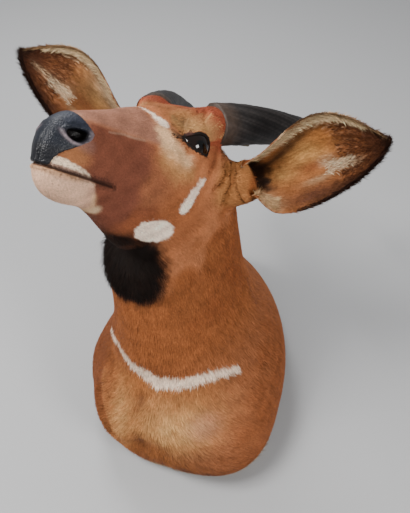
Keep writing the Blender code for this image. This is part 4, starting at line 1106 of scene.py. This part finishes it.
def paint_nose(mesh):
    """Blue-black skin, paler over the top as partly its own blue and partly a painted highlight, mauve round
    the nostrils, and painted shade black inside them.
    """
    room = points_of(mesh)
    places = to_head(room)
    height = places[:, 1]
    colours = np.zeros((len(room), 3)) + NOSE_BLACK
    # the top of the pad is paler: partly the skin's blue, partly a painted highlight
    blend(colours, (NOSE_BLUE_AND_SHEEN, 0.8 * step(-0.045, -0.022, height + 0.004 * ripple(room, 0.01, 41))),
          (NOSE_LOW, 0.8 * step(-0.062, -0.076, height)))
    for side in (1, -1):
        share = nostril_share(places, side)
        along, over = nostril_places(places, side)[:2]
        above = step(0.004, -0.006, over - 0.35 * np.maximum(along, 0))
        blend(colours, (NOSTRIL_MAUVE, 0.85 * bell(share - 1.28, 0.22) * above),
              # painted shade: black inside the nostrils' pits
              (NOSTRIL_PIT_SHADE, step(0.98, 0.80, share)))
    set_tint(mesh, colours)

nose.data.attributes.remove(nose.data.attributes["tint"])
paint_nose(nose.data)
nose_finish, nose_shader = tinted("bare_nose", 0.42, 0.26, 300.0, 0.20)
where = node(nose_finish, "ShaderNodeTexCoord")
cells = node(nose_finish, "ShaderNodeTexVoronoi", {"Vector": where.outputs["Object"], "Scale": 430.0},
             feature="F1")
raised = node(nose_finish, "ShaderNodeBump", {"Height": cells.outputs["Distance"], "Strength": 0.8,
                                              "Distance": 0.0007}, invert=True)
nose_finish.node_tree.links.new(raised.outputs["Normal"], nose_shader.inputs["Normal"])
nose.data.materials.append(nose_finish)
print("nose painted and pebbled")

# %% [markdown]
# A glass eye for a bongo is very dark: a long black pupil lies across a brown iris that fills
# the whole opening. The colour sits on the points of a fine ball, and a surface with hardly any
# roughness gives the wet shine that shows the lamps.

# %% Glass eyes
SIDE_WORDS = {1: "left", -1: "right"}
EYE_RINGS, EYE_SIDES = 48, 72
EYE_BROWN, IRIS_BROWN, PUPIL = (0.006, 0.003, 0.002), (0.007, 0.003, 0.002), (0.0008, 0.0008, 0.001)

def make_eye(side):
    """A ball whose front carries the iris and the pupil."""
    centre, ahead, over, out = eye_frame(side)
    polar = np.linspace(0, math.pi, EYE_RINGS + 1)[:, None]
    turn = np.linspace(0, 2 * math.pi, EYE_SIDES, endpoint=False)[None]
    radius = EYE_RADIUS + 0.0007 * bell(polar, 0.55) - 0.0003
    local = (ahead * (radius * np.sin(polar) * np.cos(turn))[..., None]
             + over * (radius * np.sin(polar) * np.sin(turn))[..., None]
             + out * (radius * np.cos(polar) + 0 * turn)[..., None])
    points = from_head(centre + local.reshape(-1, 3))
    mesh = closed_mesh("eye", points, grid_faces(EYE_RINGS, EYE_SIDES, closed=True))
    ways = to_head(points_of(mesh)) - centre
    along, lift = ways @ ahead * 1000, ways @ over * 1000
    rays = 1 + 0.25 * np.sin(np.arctan2(lift, along) * 46)
    colours = np.zeros((len(ways), 3)) + EYE_BROWN
    blend(colours, (IRIS_BROWN, step(17.5, 14.0, np.hypot(along, lift)) * 0.8 * rays),
          (PUPIL, step(1.08, 0.92, np.hypot(along / 9.0, lift / 5.6))))
    set_tint(mesh, colours)
    mesh.materials.append(eye_finish)
    return new_piece("glass_eye_" + SIDE_WORDS[side], mesh)

eye_finish = tinted("dark_glass", 0.04, 0.45, 180.0, 0.10)[0]
eyes = {side: make_eye(side) for side in (1, -1)}
print("eyes:", round(EYE_RADIUS * 2000, 1), "mm across")

# %% [markdown]
# Horns of this antelope are smooth but not plain: one keel winds up each, fine grooves run
# along it, and the last few centimetres wear to pale ivory. A curve with a bevel would give a
# smooth tube, but rings of points let the keel and the grooves be added to the radius. The last
# third of the right horn is raised a little, so that its tip stays hidden behind the left one.

# %% Horns
HORN_BASE = np.array((0.0600, 0.0515, -0.0640))
HORN_RADIUS, HORN_REACH, HORN_BOW, HORN_TIP_LIFT = 0.0295, 0.560, 0.100, 0.020
HORN_RINGS, HORN_SIDES = 220, 84
HORN_GREY, HORN_PALE, HORN_DARK = (0.015, 0.0125, 0.012), (0.065, 0.056, 0.053), (0.004, 0.0035, 0.0035)
HORN_IVORY, HORN_ROOT = (0.160, 0.130, 0.085), (0.070, 0.045, 0.032)

def horn_line(t):
    """The middle line of the left horn in the head's frame."""
    return HORN_BASE + np.stack([HORN_BOW * np.sin(2.6 * t), 0.052 * np.sin(3.8 * t) + 0.085 * t ** 3,
                                 -HORN_REACH * t], axis=-1)

def make_horn(side):
    """Rings of points round a bent line, with a keel, grooves and growth rings."""
    flip = np.array((side, 1, 1))
    t = np.linspace(-0.012, 1.0, HORN_RINGS + 1)
    centre = horn_line(t) * flip
    ahead = unit((horn_line(t + 0.005) - horn_line(t - 0.005)) * flip)
    first = unit(np.cross((0.0, 1.0, 0.0), ahead))
    second = np.cross(ahead, first)
    angle = np.linspace(0, 2 * math.pi, HORN_SIDES, endpoint=False)[None]
    grown = np.clip(t, 0, 1)[:, None]
    radius = 0.0030 + HORN_RADIUS * (1 - grown ** 1.25) ** 0.9
    turn = angle - side * (1.2 + 2 * math.pi * 0.9 * t[:, None])
    keel = 1 + 0.15 * np.maximum(0.0, np.cos(turn)) ** 6
    grooves = (0.010 * np.sin(turn * 9 + 1.3 * np.sin(turn * 2)) + 0.007 * np.sin(turn * 23 + 3 * grown)
               + 0.004 * np.sin(turn * 37))
    rings = 0.012 * np.sin(t[:, None] * 150 + 1.5 * np.sin(angle)) * np.exp(-grown * 7)
    radius = radius * (keel - 0.012 + (grooves + rings) * (1 - grown) ** 0.5)
    points = (centre[:, None] + first[:, None] * (radius * np.cos(angle))[..., None]
              + second[:, None] * (radius * np.sin(angle))[..., None])
    points = from_head(points.reshape(-1, 3))
    if side < 0:
        points[:, 2] += HORN_TIP_LIFT * np.repeat(step(0.62, 1.0, t), HORN_SIDES)
    last = HORN_RINGS * HORN_SIDES
    ends = [tuple(range(HORN_SIDES))[::-1], tuple(range(last, last + HORN_SIDES))]
    mesh = closed_mesh("horn", points, grid_faces(HORN_RINGS, HORN_SIDES, closed=True) + ends)
    streak = (0.35 * np.sin(turn * 11 + 4 * grown) + 0.35 * np.sin(turn * 27 + 2.2)
              + 0.3 * np.sin(turn * 53 + 9 * grown)).ravel()
    whole = np.repeat(grown.ravel(), HORN_SIDES)
    colours = np.zeros((len(mesh.vertices), 3)) + HORN_GREY
    blend(colours, (HORN_PALE, 0.5 * np.clip(streak, 0, 1)),
          (HORN_DARK, 0.6 * np.clip(-streak, 0, 1)),
          (HORN_IVORY, 0.8 * step(0.940, 0.985, whole + 0.008 * streak)),
          (HORN_ROOT, 0.6 * step(0.05, 0.0, whole)))
    set_tint(mesh, colours)
    mesh.materials.append(horn_finish)
    return new_piece("ribbed_horn_" + SIDE_WORDS[side], mesh)

horn_finish = tinted("horn_sheath", 0.50, 0.22, 160.0, 0.25, 0.0008)[0]
horns = {side: make_horn(side) for side in (1, -1)}
print("horns:", HORN_RINGS, "rings of", HORN_SIDES, "points each")

# %% [markdown]
# Hair that is exported has to be mesh, so each tuft is a thin blade of a few triangles: two
# points at its root, two half way along and one at its tip. What makes many blades read as a
# coat is their lay. On the head it runs from the nose back over the skull, on the neck and
# shoulders down towards the board, and on the ears from root to tip.

# %% Where tufts grow and which way they lie
skin.data.calc_loop_triangles()
skin_points, skin_normals = points_of(skin.data), normals_of(skin.data)
skin_faces = read(skin.data.loop_triangles, "vertices", kind=int)
corners = skin_points[skin_faces]
face_middles = corners.mean(axis=1)
face_crosses = np.cross(corners[:, 1] - corners[:, 0], corners[:, 2] - corners[:, 0])
face_areas = np.linalg.norm(face_crosses, axis=1) / 2
print("skin area:", round(face_areas.sum(), 3), "m2")

def scatter(count, weight, seed):
    """Random places on the skin, more where the weight is greater, with their normals."""
    draw = np.random.default_rng(seed)
    share = np.cumsum(face_areas * weight)
    chosen = np.searchsorted(share, draw.uniform(0, share[-1], count))
    a, b = np.sqrt(draw.uniform(size=count)), draw.uniform(size=count)
    parts = np.stack([1 - a, a * (1 - b), a * b], axis=1)[..., None]
    faces = skin_faces[chosen]
    return (skin_points[faces] * parts).sum(axis=1), unit((skin_normals[faces] * parts).sum(axis=1))

def lay_at(room, normals):
    """The direction the coat lies in, along the skin: down the body, and out from the chest's middle."""
    places = to_head(room)
    x, y, z = room.T
    on_head = (step(-0.19, -0.09, places[:, 2] + 0.5 * (places[:, 1] + 0.04)) * step(0.38, 0.50, z))[:, None]
    back = -HEAD_TURN[:, 2] + 0.25 * HEAD_TURN[:, 1] * -step(0.0, -0.06, places[:, 1])[:, None]
    outward = 14.0 * (x + 0.01) * step(0.22, 0.15, z) * step(-0.15, -0.22, y)
    down = np.stack([outward, 0 * y, 0 * z - 1.0], axis=1)
    way = unit(down) * (1 - on_head) + back * on_head
    for side in (1, -1):
        root, axis, width, _ = ear_frame(side)
        ear = is_ear(places, side)
        across = (places[ear] - root) @ width
        way[ear] = (axis + np.outer(across * 5.0, width)) @ HEAD_TURN.T
        stem = ~ear & (np.linalg.norm(places - root - axis * -0.02, axis=1) < 0.055)
        way[stem] = 0.5 * way[stem] + 0.8 * (HEAD_TURN @ axis)
    return unit(way - normals * np.einsum("ij,ij->i", way, normals)[:, None])

# %% [markdown]
# The export bakes each coat piece's colour on its own unwrap, named OFBake. A tuft needs only a
# tiny patch, but the patch must lie where its root is on an unwrap of the hide, so that near
# tufts share near colours. The hide unwraps on simple charts: one round the body, one round the
# head, and one for each face of each ear.

# %% An unwrap of the hide
BODY_WIDE, HEAD_WIDE = 0.96, 0.70

def rolled(places, behind):
    """How far points are round an upright line, from zero to one, and how far from it."""
    x, y = places[:, 0], places[:, 1] + behind
    return np.arctan2(x, -y) / (2 * math.pi) + 0.5, np.hypot(x, y)

def chart_place(room, normals):
    """Where points of the hide fall on its unwrap: body, head and four ear charts."""
    places = to_head(room)
    turn, radial = rolled(room, 0.03)
    chart = np.zeros(len(room), int)
    u, v = 0.02 + BODY_WIDE * turn, 0.02 + 0.46 * np.clip((room[:, 2] + 0.25 - 0.5 * radial) / 0.72, 0, 1)
    head = (head_reach(places) > -0.135) & (room[:, 2] > 0.40)
    turn, radial = rolled(places, 0.05)
    u[head] = (0.02 + HEAD_WIDE * turn)[head]
    v[head] = (0.52 + 0.46 * np.clip((places[:, 2] + 0.30 - 0.6 * radial) / 0.56, 0, 1))[head]
    chart[head] = 1
    for k, side in enumerate((1, -1)):
        root, axis, width, face = ear_frame(side)
        offset = places - root
        ear = is_ear(places, side)
        inward = (normals @ HEAD_TURN @ face > 0)
        low = 0.52 + 0.24 * k + 0.12 * inward
        u[ear] = (0.75 + 0.23 * np.clip(offset @ axis / 0.25, 0, 1))[ear]
        v[ear] = (low + 0.10 * np.clip(offset @ width / 0.17 + 0.5, 0, 1))[ear]
        chart[ear] = 2
    return np.stack([u, v], axis=1), chart

def bake_map(mesh, corner_places):
    """Store the unwrap, one place for each corner of each face."""
    layer = mesh.uv_layers.new(name="OFBake")
    layer.data.foreach_set("uv", corner_places.astype(np.float32).ravel())

def unwrap_skin(mesh):
    """The hide's own unwrap, with each face kept whole where a chart closes on itself."""
    loops = read(mesh.loops, "vertex_index", 1, int)
    first = read(mesh.polygons, "loop_start", 1, int)
    sizes = np.diff(np.append(first, len(loops)))
    places, chart = chart_place(points_of(mesh), normals_of(mesh))
    corner = places[loops]
    lead = np.repeat(corner[first], sizes, axis=0)
    lead_chart = np.repeat(chart[loops[first]], sizes)
    round_trip = np.where(lead_chart == 1, HEAD_WIDE, BODY_WIDE)
    slip = corner[:, 0] - lead[:, 0]
    corner[:, 0] -= round_trip * np.round(slip / round_trip) * (np.abs(slip) > 0.3)
    mixed = lead_chart != chart[loops]
    corner[mixed] = lead[mixed]
    bake_map(mesh, np.clip(corner, 0.001, 0.999))

unwrap_skin(skin.data)
print("hide unwrapped on six charts,", len(skin.data.loops), "corners")

# %% [markdown]
# One function makes all tufts of a piece at once. Short coat takes three triangles a tuft,
# long locks seven. Each is turned a little about its own length and tinted a little lighter or
# darker than its neighbours; roots are darker, because light doesn't reach them.

# %% Making tufts
PATCH, BLADE_ROLL, ROOT_DEPTH = 0.003, 0.6, 0.0004

def tufts(name, roots, normals, lay, length, width, lift, seed, levels=2, bend=0.0, droop=0.0,
          colours=None, spread=0.14):
    """A piece of many tapering blades that leave the skin along their lay."""
    draw = np.random.default_rng(seed)
    count = len(roots)
    length = np.broadcast_to(length, count) * draw.uniform(0.75, 1.2, count)
    sideways = np.cross(lay, normals)
    swing = draw.normal(0, 0.13, count)[:, None]
    lay = unit(lay + sideways * swing)
    sideways = unit(np.cross(lay, normals))
    turn = draw.uniform(-BLADE_ROLL, BLADE_ROLL, count)[:, None]
    flat = sideways * np.cos(turn) + normals * np.sin(turn)
    rise = np.broadcast_to(lift, count) * draw.uniform(0.7, 1.3, count)
    curl = draw.normal(0, 1, count) * bend
    steps = np.linspace(0, 1, levels + 1)
    wide = np.broadcast_to(width, count) * draw.uniform(0.8, 1.2, count)
    points = []
    for t in steps:
        middle = (roots - normals * ROOT_DEPTH + lay * (length * t)[:, None]
                  + normals * (rise * t ** 1.3)[:, None] + sideways * (curl * t * t)[:, None]
                  + (0.0, 0.0, -droop * t * t))
        if t < 1:
            half = flat * (wide * (0.5 if t == 0 else 0.55 * (1 - 0.75 * t)))[:, None]
            points += [middle - half, middle + half]
        else:
            points.append(middle)
    corners = 2 * levels + 1
    points = np.stack(points, axis=1).reshape(-1, 3)
    rows = []
    for k in range(levels - 1):
        rows += [(2 * k, 2 * k + 1, 2 * k + 3), (2 * k, 2 * k + 3, 2 * k + 2)]
    rows.append((2 * levels - 2, 2 * levels - 1, 2 * levels))
    faces = (np.arange(count)[:, None, None] * corners + np.array(rows)[None]).reshape(-1, 3)
    mesh = bpy.data.meshes.new(name)
    mesh.vertices.add(len(points))
    mesh.vertices.foreach_set("co", points.ravel())
    mesh.loops.add(faces.size)
    mesh.loops.foreach_set("vertex_index", faces.ravel())
    mesh.polygons.add(len(faces))
    mesh.polygons.foreach_set("loop_start", np.arange(0, faces.size, 3))
    shade_smooth(mesh)
    mesh.update()
    if colours is None:
        colours = markings(roots + lay * (length * draw.uniform(0.15, 0.65, count))[:, None], normals)
    own = colours * np.exp(draw.normal(0, spread, count))[:, None]
    shade = np.repeat(0.80 + 0.32 * steps, [2] * levels + [1])
    set_tint(mesh, np.clip(own[:, None] * shade[None, :, None], 0.001, 0.98).reshape(-1, 3))
    centre = chart_place(roots, normals)[0]
    offset = np.array([((k % 2 - 0.5) * PATCH if k < 2 * levels else 0.0, (k // 2) / levels * PATCH)
                       for k in range(corners)])
    owner = np.repeat(np.arange(count), len(rows) * 3)
    bake_map(mesh, (centre[:, None] + offset[None])[owner, faces.ravel() % corners])
    mesh.materials.append(hair_finish)
    return new_piece(name, mesh)

print("a short tuft takes", 2 * 2 - 1, "triangles and a long lock", 2 * 4 - 1)

# %% [markdown]
# Short coat covers the whole hide. It is longest on the shoulders, shorter on the neck and only
# a few millimetres on the face, where the tufts are also the finest. Nothing grows in the
# mouth, on the eyes, under the horns or on the flat that rests on the board.

# %% Short coat
def is_bare(room):
    """Which points grow no hair."""
    places = to_head(room)
    bare = (mouth_gap(places) < 0.0016) & (places[:, 2] > 0.12)
    bare |= (room[:, 2] < 0.0150) | (nose_share(places) > 0.5)
    for side in (1, -1):
        near, _, along, lift, _ = eye_places(places, side)
        bare[near[lid_gap(along, lift) < 0.0030]] = True
        base = horn_line(np.array(0.004)) * (side, 1, 1)
        bare |= np.linalg.norm(places - base, axis=1) < HORN_RADIUS * 0.93
    return bare

on_skin = (~is_bare(face_middles)).astype(float)
middles_head = to_head(face_middles)
ear_share = (is_ear(middles_head, 1) | is_ear(middles_head, -1)).astype(float)
head_share = step(-0.155, -0.125, head_reach(middles_head)) * step(0.40, 0.44, face_middles[:, 2])
head_share *= 1 - ear_share
body_share = (1 - head_share) * (1 - ear_share)
lower = step(0.34, 0.26, face_middles[:, 2])

def fineness(places):
    """Zero at the back of the head and one on the muzzle, where the hair is finest."""
    return step(0.00, 0.16, places[:, 2])

left_half = face_middles[:, 0] > 0
head_grown = head_share * (1 + 0.9 * fineness(middles_head))
coat = []
for name, count, weight, (long, wide, rise), seed in (
        ("coat_body_1", 62000, body_share * lower * left_half, (0.0150, 0.0016, 0.0030), 100),
        ("coat_body_2", 62000, body_share * lower * ~left_half, (0.0150, 0.0016, 0.0030), 101),
        ("coat_body_3", 60000, body_share * (1 - lower), (0.0120, 0.0014, 0.0024), 102),
        ("coat_head_1", 64000, head_grown * (middles_head[:, 0] > 0), (0.0082, 0.00105, 0.0014), 110),
        ("coat_head_2", 64000, head_grown * (middles_head[:, 0] < 0), (0.0082, 0.00105, 0.0014), 111),
        ("coat_ears", 52000, ear_share, (0.0090, 0.0010, 0.0012), 120)):
    roots, normals = scatter(count, weight * on_skin, seed)
    small = fineness(to_head(roots)) * name.startswith("coat_head")
    coat.append(tufts(name, roots, normals, lay_at(roots, normals), long - 0.0036 * small,
                      wide - 0.0003 * small, rise - 0.0005 * small, seed + 100))
print("short coat:", sum(len(piece.data.polygons) for piece in coat), "triangles in", len(coat), "pieces")

# %% [markdown]
# Where hair is long enough to leave the outline, three triangles are too stiff, and the locks
# take seven: the black beard of the throat, the crest over the withers, the fringes round the
# ears and the pale hair inside them. The same function makes them all, and the throat's locks
# droop towards the ground a little, as their weight would make them.

# %% Throat and withers
POOL = 8   # places drawn for each one that is wanted

def scatter_where(count, zone, weight_at, seed):
    """Random places in a zone of the faces, kept in proportion to a weight known only at a place."""
    roots, normals = scatter(count * POOL, on_skin * zone, seed)
    draw = np.random.default_rng(seed + 1)
    chosen = np.flatnonzero(draw.uniform(0, 1, len(roots)) < weight_at(roots, normals))[:count]
    return roots[chosen], normals[chosen]

def dark_throat(room, normals):
    """How black the throat is at each place."""
    black = np.clip((0.05 - markings(room, normals)[:, 0]) / 0.03, 0, 1)
    return black * step(0.425, 0.445, room[:, 2]) * step(-0.100, -0.070, room[:, 0])

def middle_back(room, normals):
    """How near each place is to the middle line of the back."""
    return step(0.015, 0.004, np.abs(room[:, 0]) + 0.002 * ripple(room, 0.01, 61))

x, y, z = face_middles.T
roots, normals = scatter_where(9000, (y < -0.13) & (z > 0.39) & (z < 0.60), dark_throat, 130)
beard = step(0.60, 0.50, roots[:, 2])
coat.append(tufts("coat_throat", roots, normals, lay_at(roots, normals), 0.009 + 0.015 * beard, 0.0010,
                  0.0015 + 0.0012 * beard, 230, levels=4, bend=0.0030, droop=0.003, spread=0.45))
print("throat:", len(roots), "locks")

crest = (y > 0.07) & (np.abs(x) < 0.03) & (z > 0.035) & (z < 0.34)
roots, normals = scatter_where(2600, crest, middle_back, 132)
coat.append(tufts("coat_withers", roots, normals, lay_at(roots, normals), 0.026, 0.0012, 0.0075, 232,
                  levels=4, bend=0.003, spread=0.35))
print("withers:", len(roots), "locks")

# %% Fringes round the ears and pale hair inside them
def ear_hair(name, side, seed, count, along, across, ways, lengths, width, lift, colour):
    """Locks rooted on an ear's own sheet, turned by shares of its length, width and facing.
    Their length is one number, or two and the stretch of the ear over which it grows."""
    draw = np.random.default_rng(seed)
    t = draw.uniform(along[0], along[1], count)
    s = draw.uniform(across[0], across[1], count)
    ahead = np.minimum(t + 0.01, EAR_END)
    facing = ear_normal(side, t, s)
    tipward = unit(ear_sheet(side, ahead, s) - ear_sheet(side, ahead - 0.01, s))
    edgeward = unit(ear_sheet(side, t, s + 0.01) - ear_sheet(side, t, s - 0.01))
    lay = unit(tipward * ways[0] + edgeward * ways[1] + facing * ways[2] + draw.normal(0, 0.10, (count, 3)))
    roots = ear_sheet(side, t, s) + draw.normal(0, 0.0005, (count, 3))
    short, more, start, end = lengths
    tint = np.array(colour)[None] * np.exp(draw.normal(0, 0.30, count))[:, None]
    return tufts(name, roots, facing, lay, short + more * step(start, end, t), width, lift, seed + 1,
                 levels=4, bend=0.003, colours=tint, spread=0.15)

EVEN = (0.0, 0.3, 0.7)
EAR_LOCKS = (
    ("fringe_low_", 300, 2200, (0.30, EAR_END), (-1.0, -0.90), (0.90, -0.42, 0.05),
     (0.006, 0.013, 0.3, 0.7), 0.0009, 0.001, (0.022, 0.010, 0.007)),
    ("fringe_top_", 310, 1300, (0.40, EAR_END), (0.92, 1.0), (0.92, 0.28, 0.05),
     (0.006, 0.007, 0.5, 0.9), 0.0008, 0.001, (0.300, 0.190, 0.100)),
    ("fringe_tip_", 320, 1300, (0.93, EAR_END), (-1.0, 1.0), (1.0, 0.0, 0.10),
     (0.015, *EVEN), 0.0010, 0.002, (0.030, 0.013, 0.008)),
    ("cup_top_", 330, 1500, (0.10, 0.88), (0.78, 0.99), (0.70, -0.25, 0.18),
     (0.013, *EVEN), 0.0008, 0.002, (0.560, 0.420, 0.250)),
    ("cup_base_", 340, 800, (0.02, 0.15), (-0.98, -0.55), (0.85, -0.10, 0.16),
     (0.013, *EVEN), 0.0007, 0.003, (0.520, 0.350, 0.190)),
    ("cup_streak_", 350, 420, (0.50, 0.72), (-0.36, -0.10), (0.95, -0.12, 0.12),
     (0.015, *EVEN), 0.0007, 0.002, (0.620, 0.480, 0.320)),
    ("cup_dark_", 360, 1500, (0.62, 0.95), (-0.90, 0.70), (0.98, -0.05, 0.14),
     (0.014, *EVEN), 0.0008, 0.002, (0.070, 0.025, 0.012)),
)
fringes = [ear_hair(name + word, side, seed + side, *rest)
           for side, word in SIDE_WORDS.items() for name, seed, *rest in EAR_LOCKS]
print("ear hair:", sum(len(piece.data.polygons) for piece in fringes), "triangles")

# %% [markdown]
# The board is the one part that keeps its own solid. It's plain plywood, so its grain is a noise
# drawn out along the sheet, and the colour is scaled by it.

# %% The back board
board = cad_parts["back_board"]
PLYWOOD, GRAIN_STRETCH = (0.45, 0.31, 0.18), (9.0, 120.0, 160.0)
board_finish, board_shader = finish("plain_plywood", 0.72, Specular_IOR_Level=0.25)
grained(board_finish, board_shader, PLYWOOD, 1.0, 0.72, 1.20, stretch=GRAIN_STRETCH, detail=5.0)
board.data.materials.clear()
board.data.materials.append(board_finish)
print("board:", board.name, [round(size, 3) for size in board.dimensions], "m")

# %% [markdown]
# Last, each piece is tied to the frame. A piece rides on the root body, and the solids that the
# dressing stands for are hidden. The dressed mount outgrows its solids by about two millimetres
# at most.

# %% Tie the pieces to the frame and hide the solids
for piece in [skin, nose, *coat, *fringes, *eyes.values(), *horns.values()]:
    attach(piece, "root")
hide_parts("shoulders", "neck", "head", "lower_jaw", "ear_left", "ear_right")
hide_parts("nose_pad")
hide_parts("eye_left")
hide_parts("eye_right")
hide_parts("horn_left")
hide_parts("horn_right")
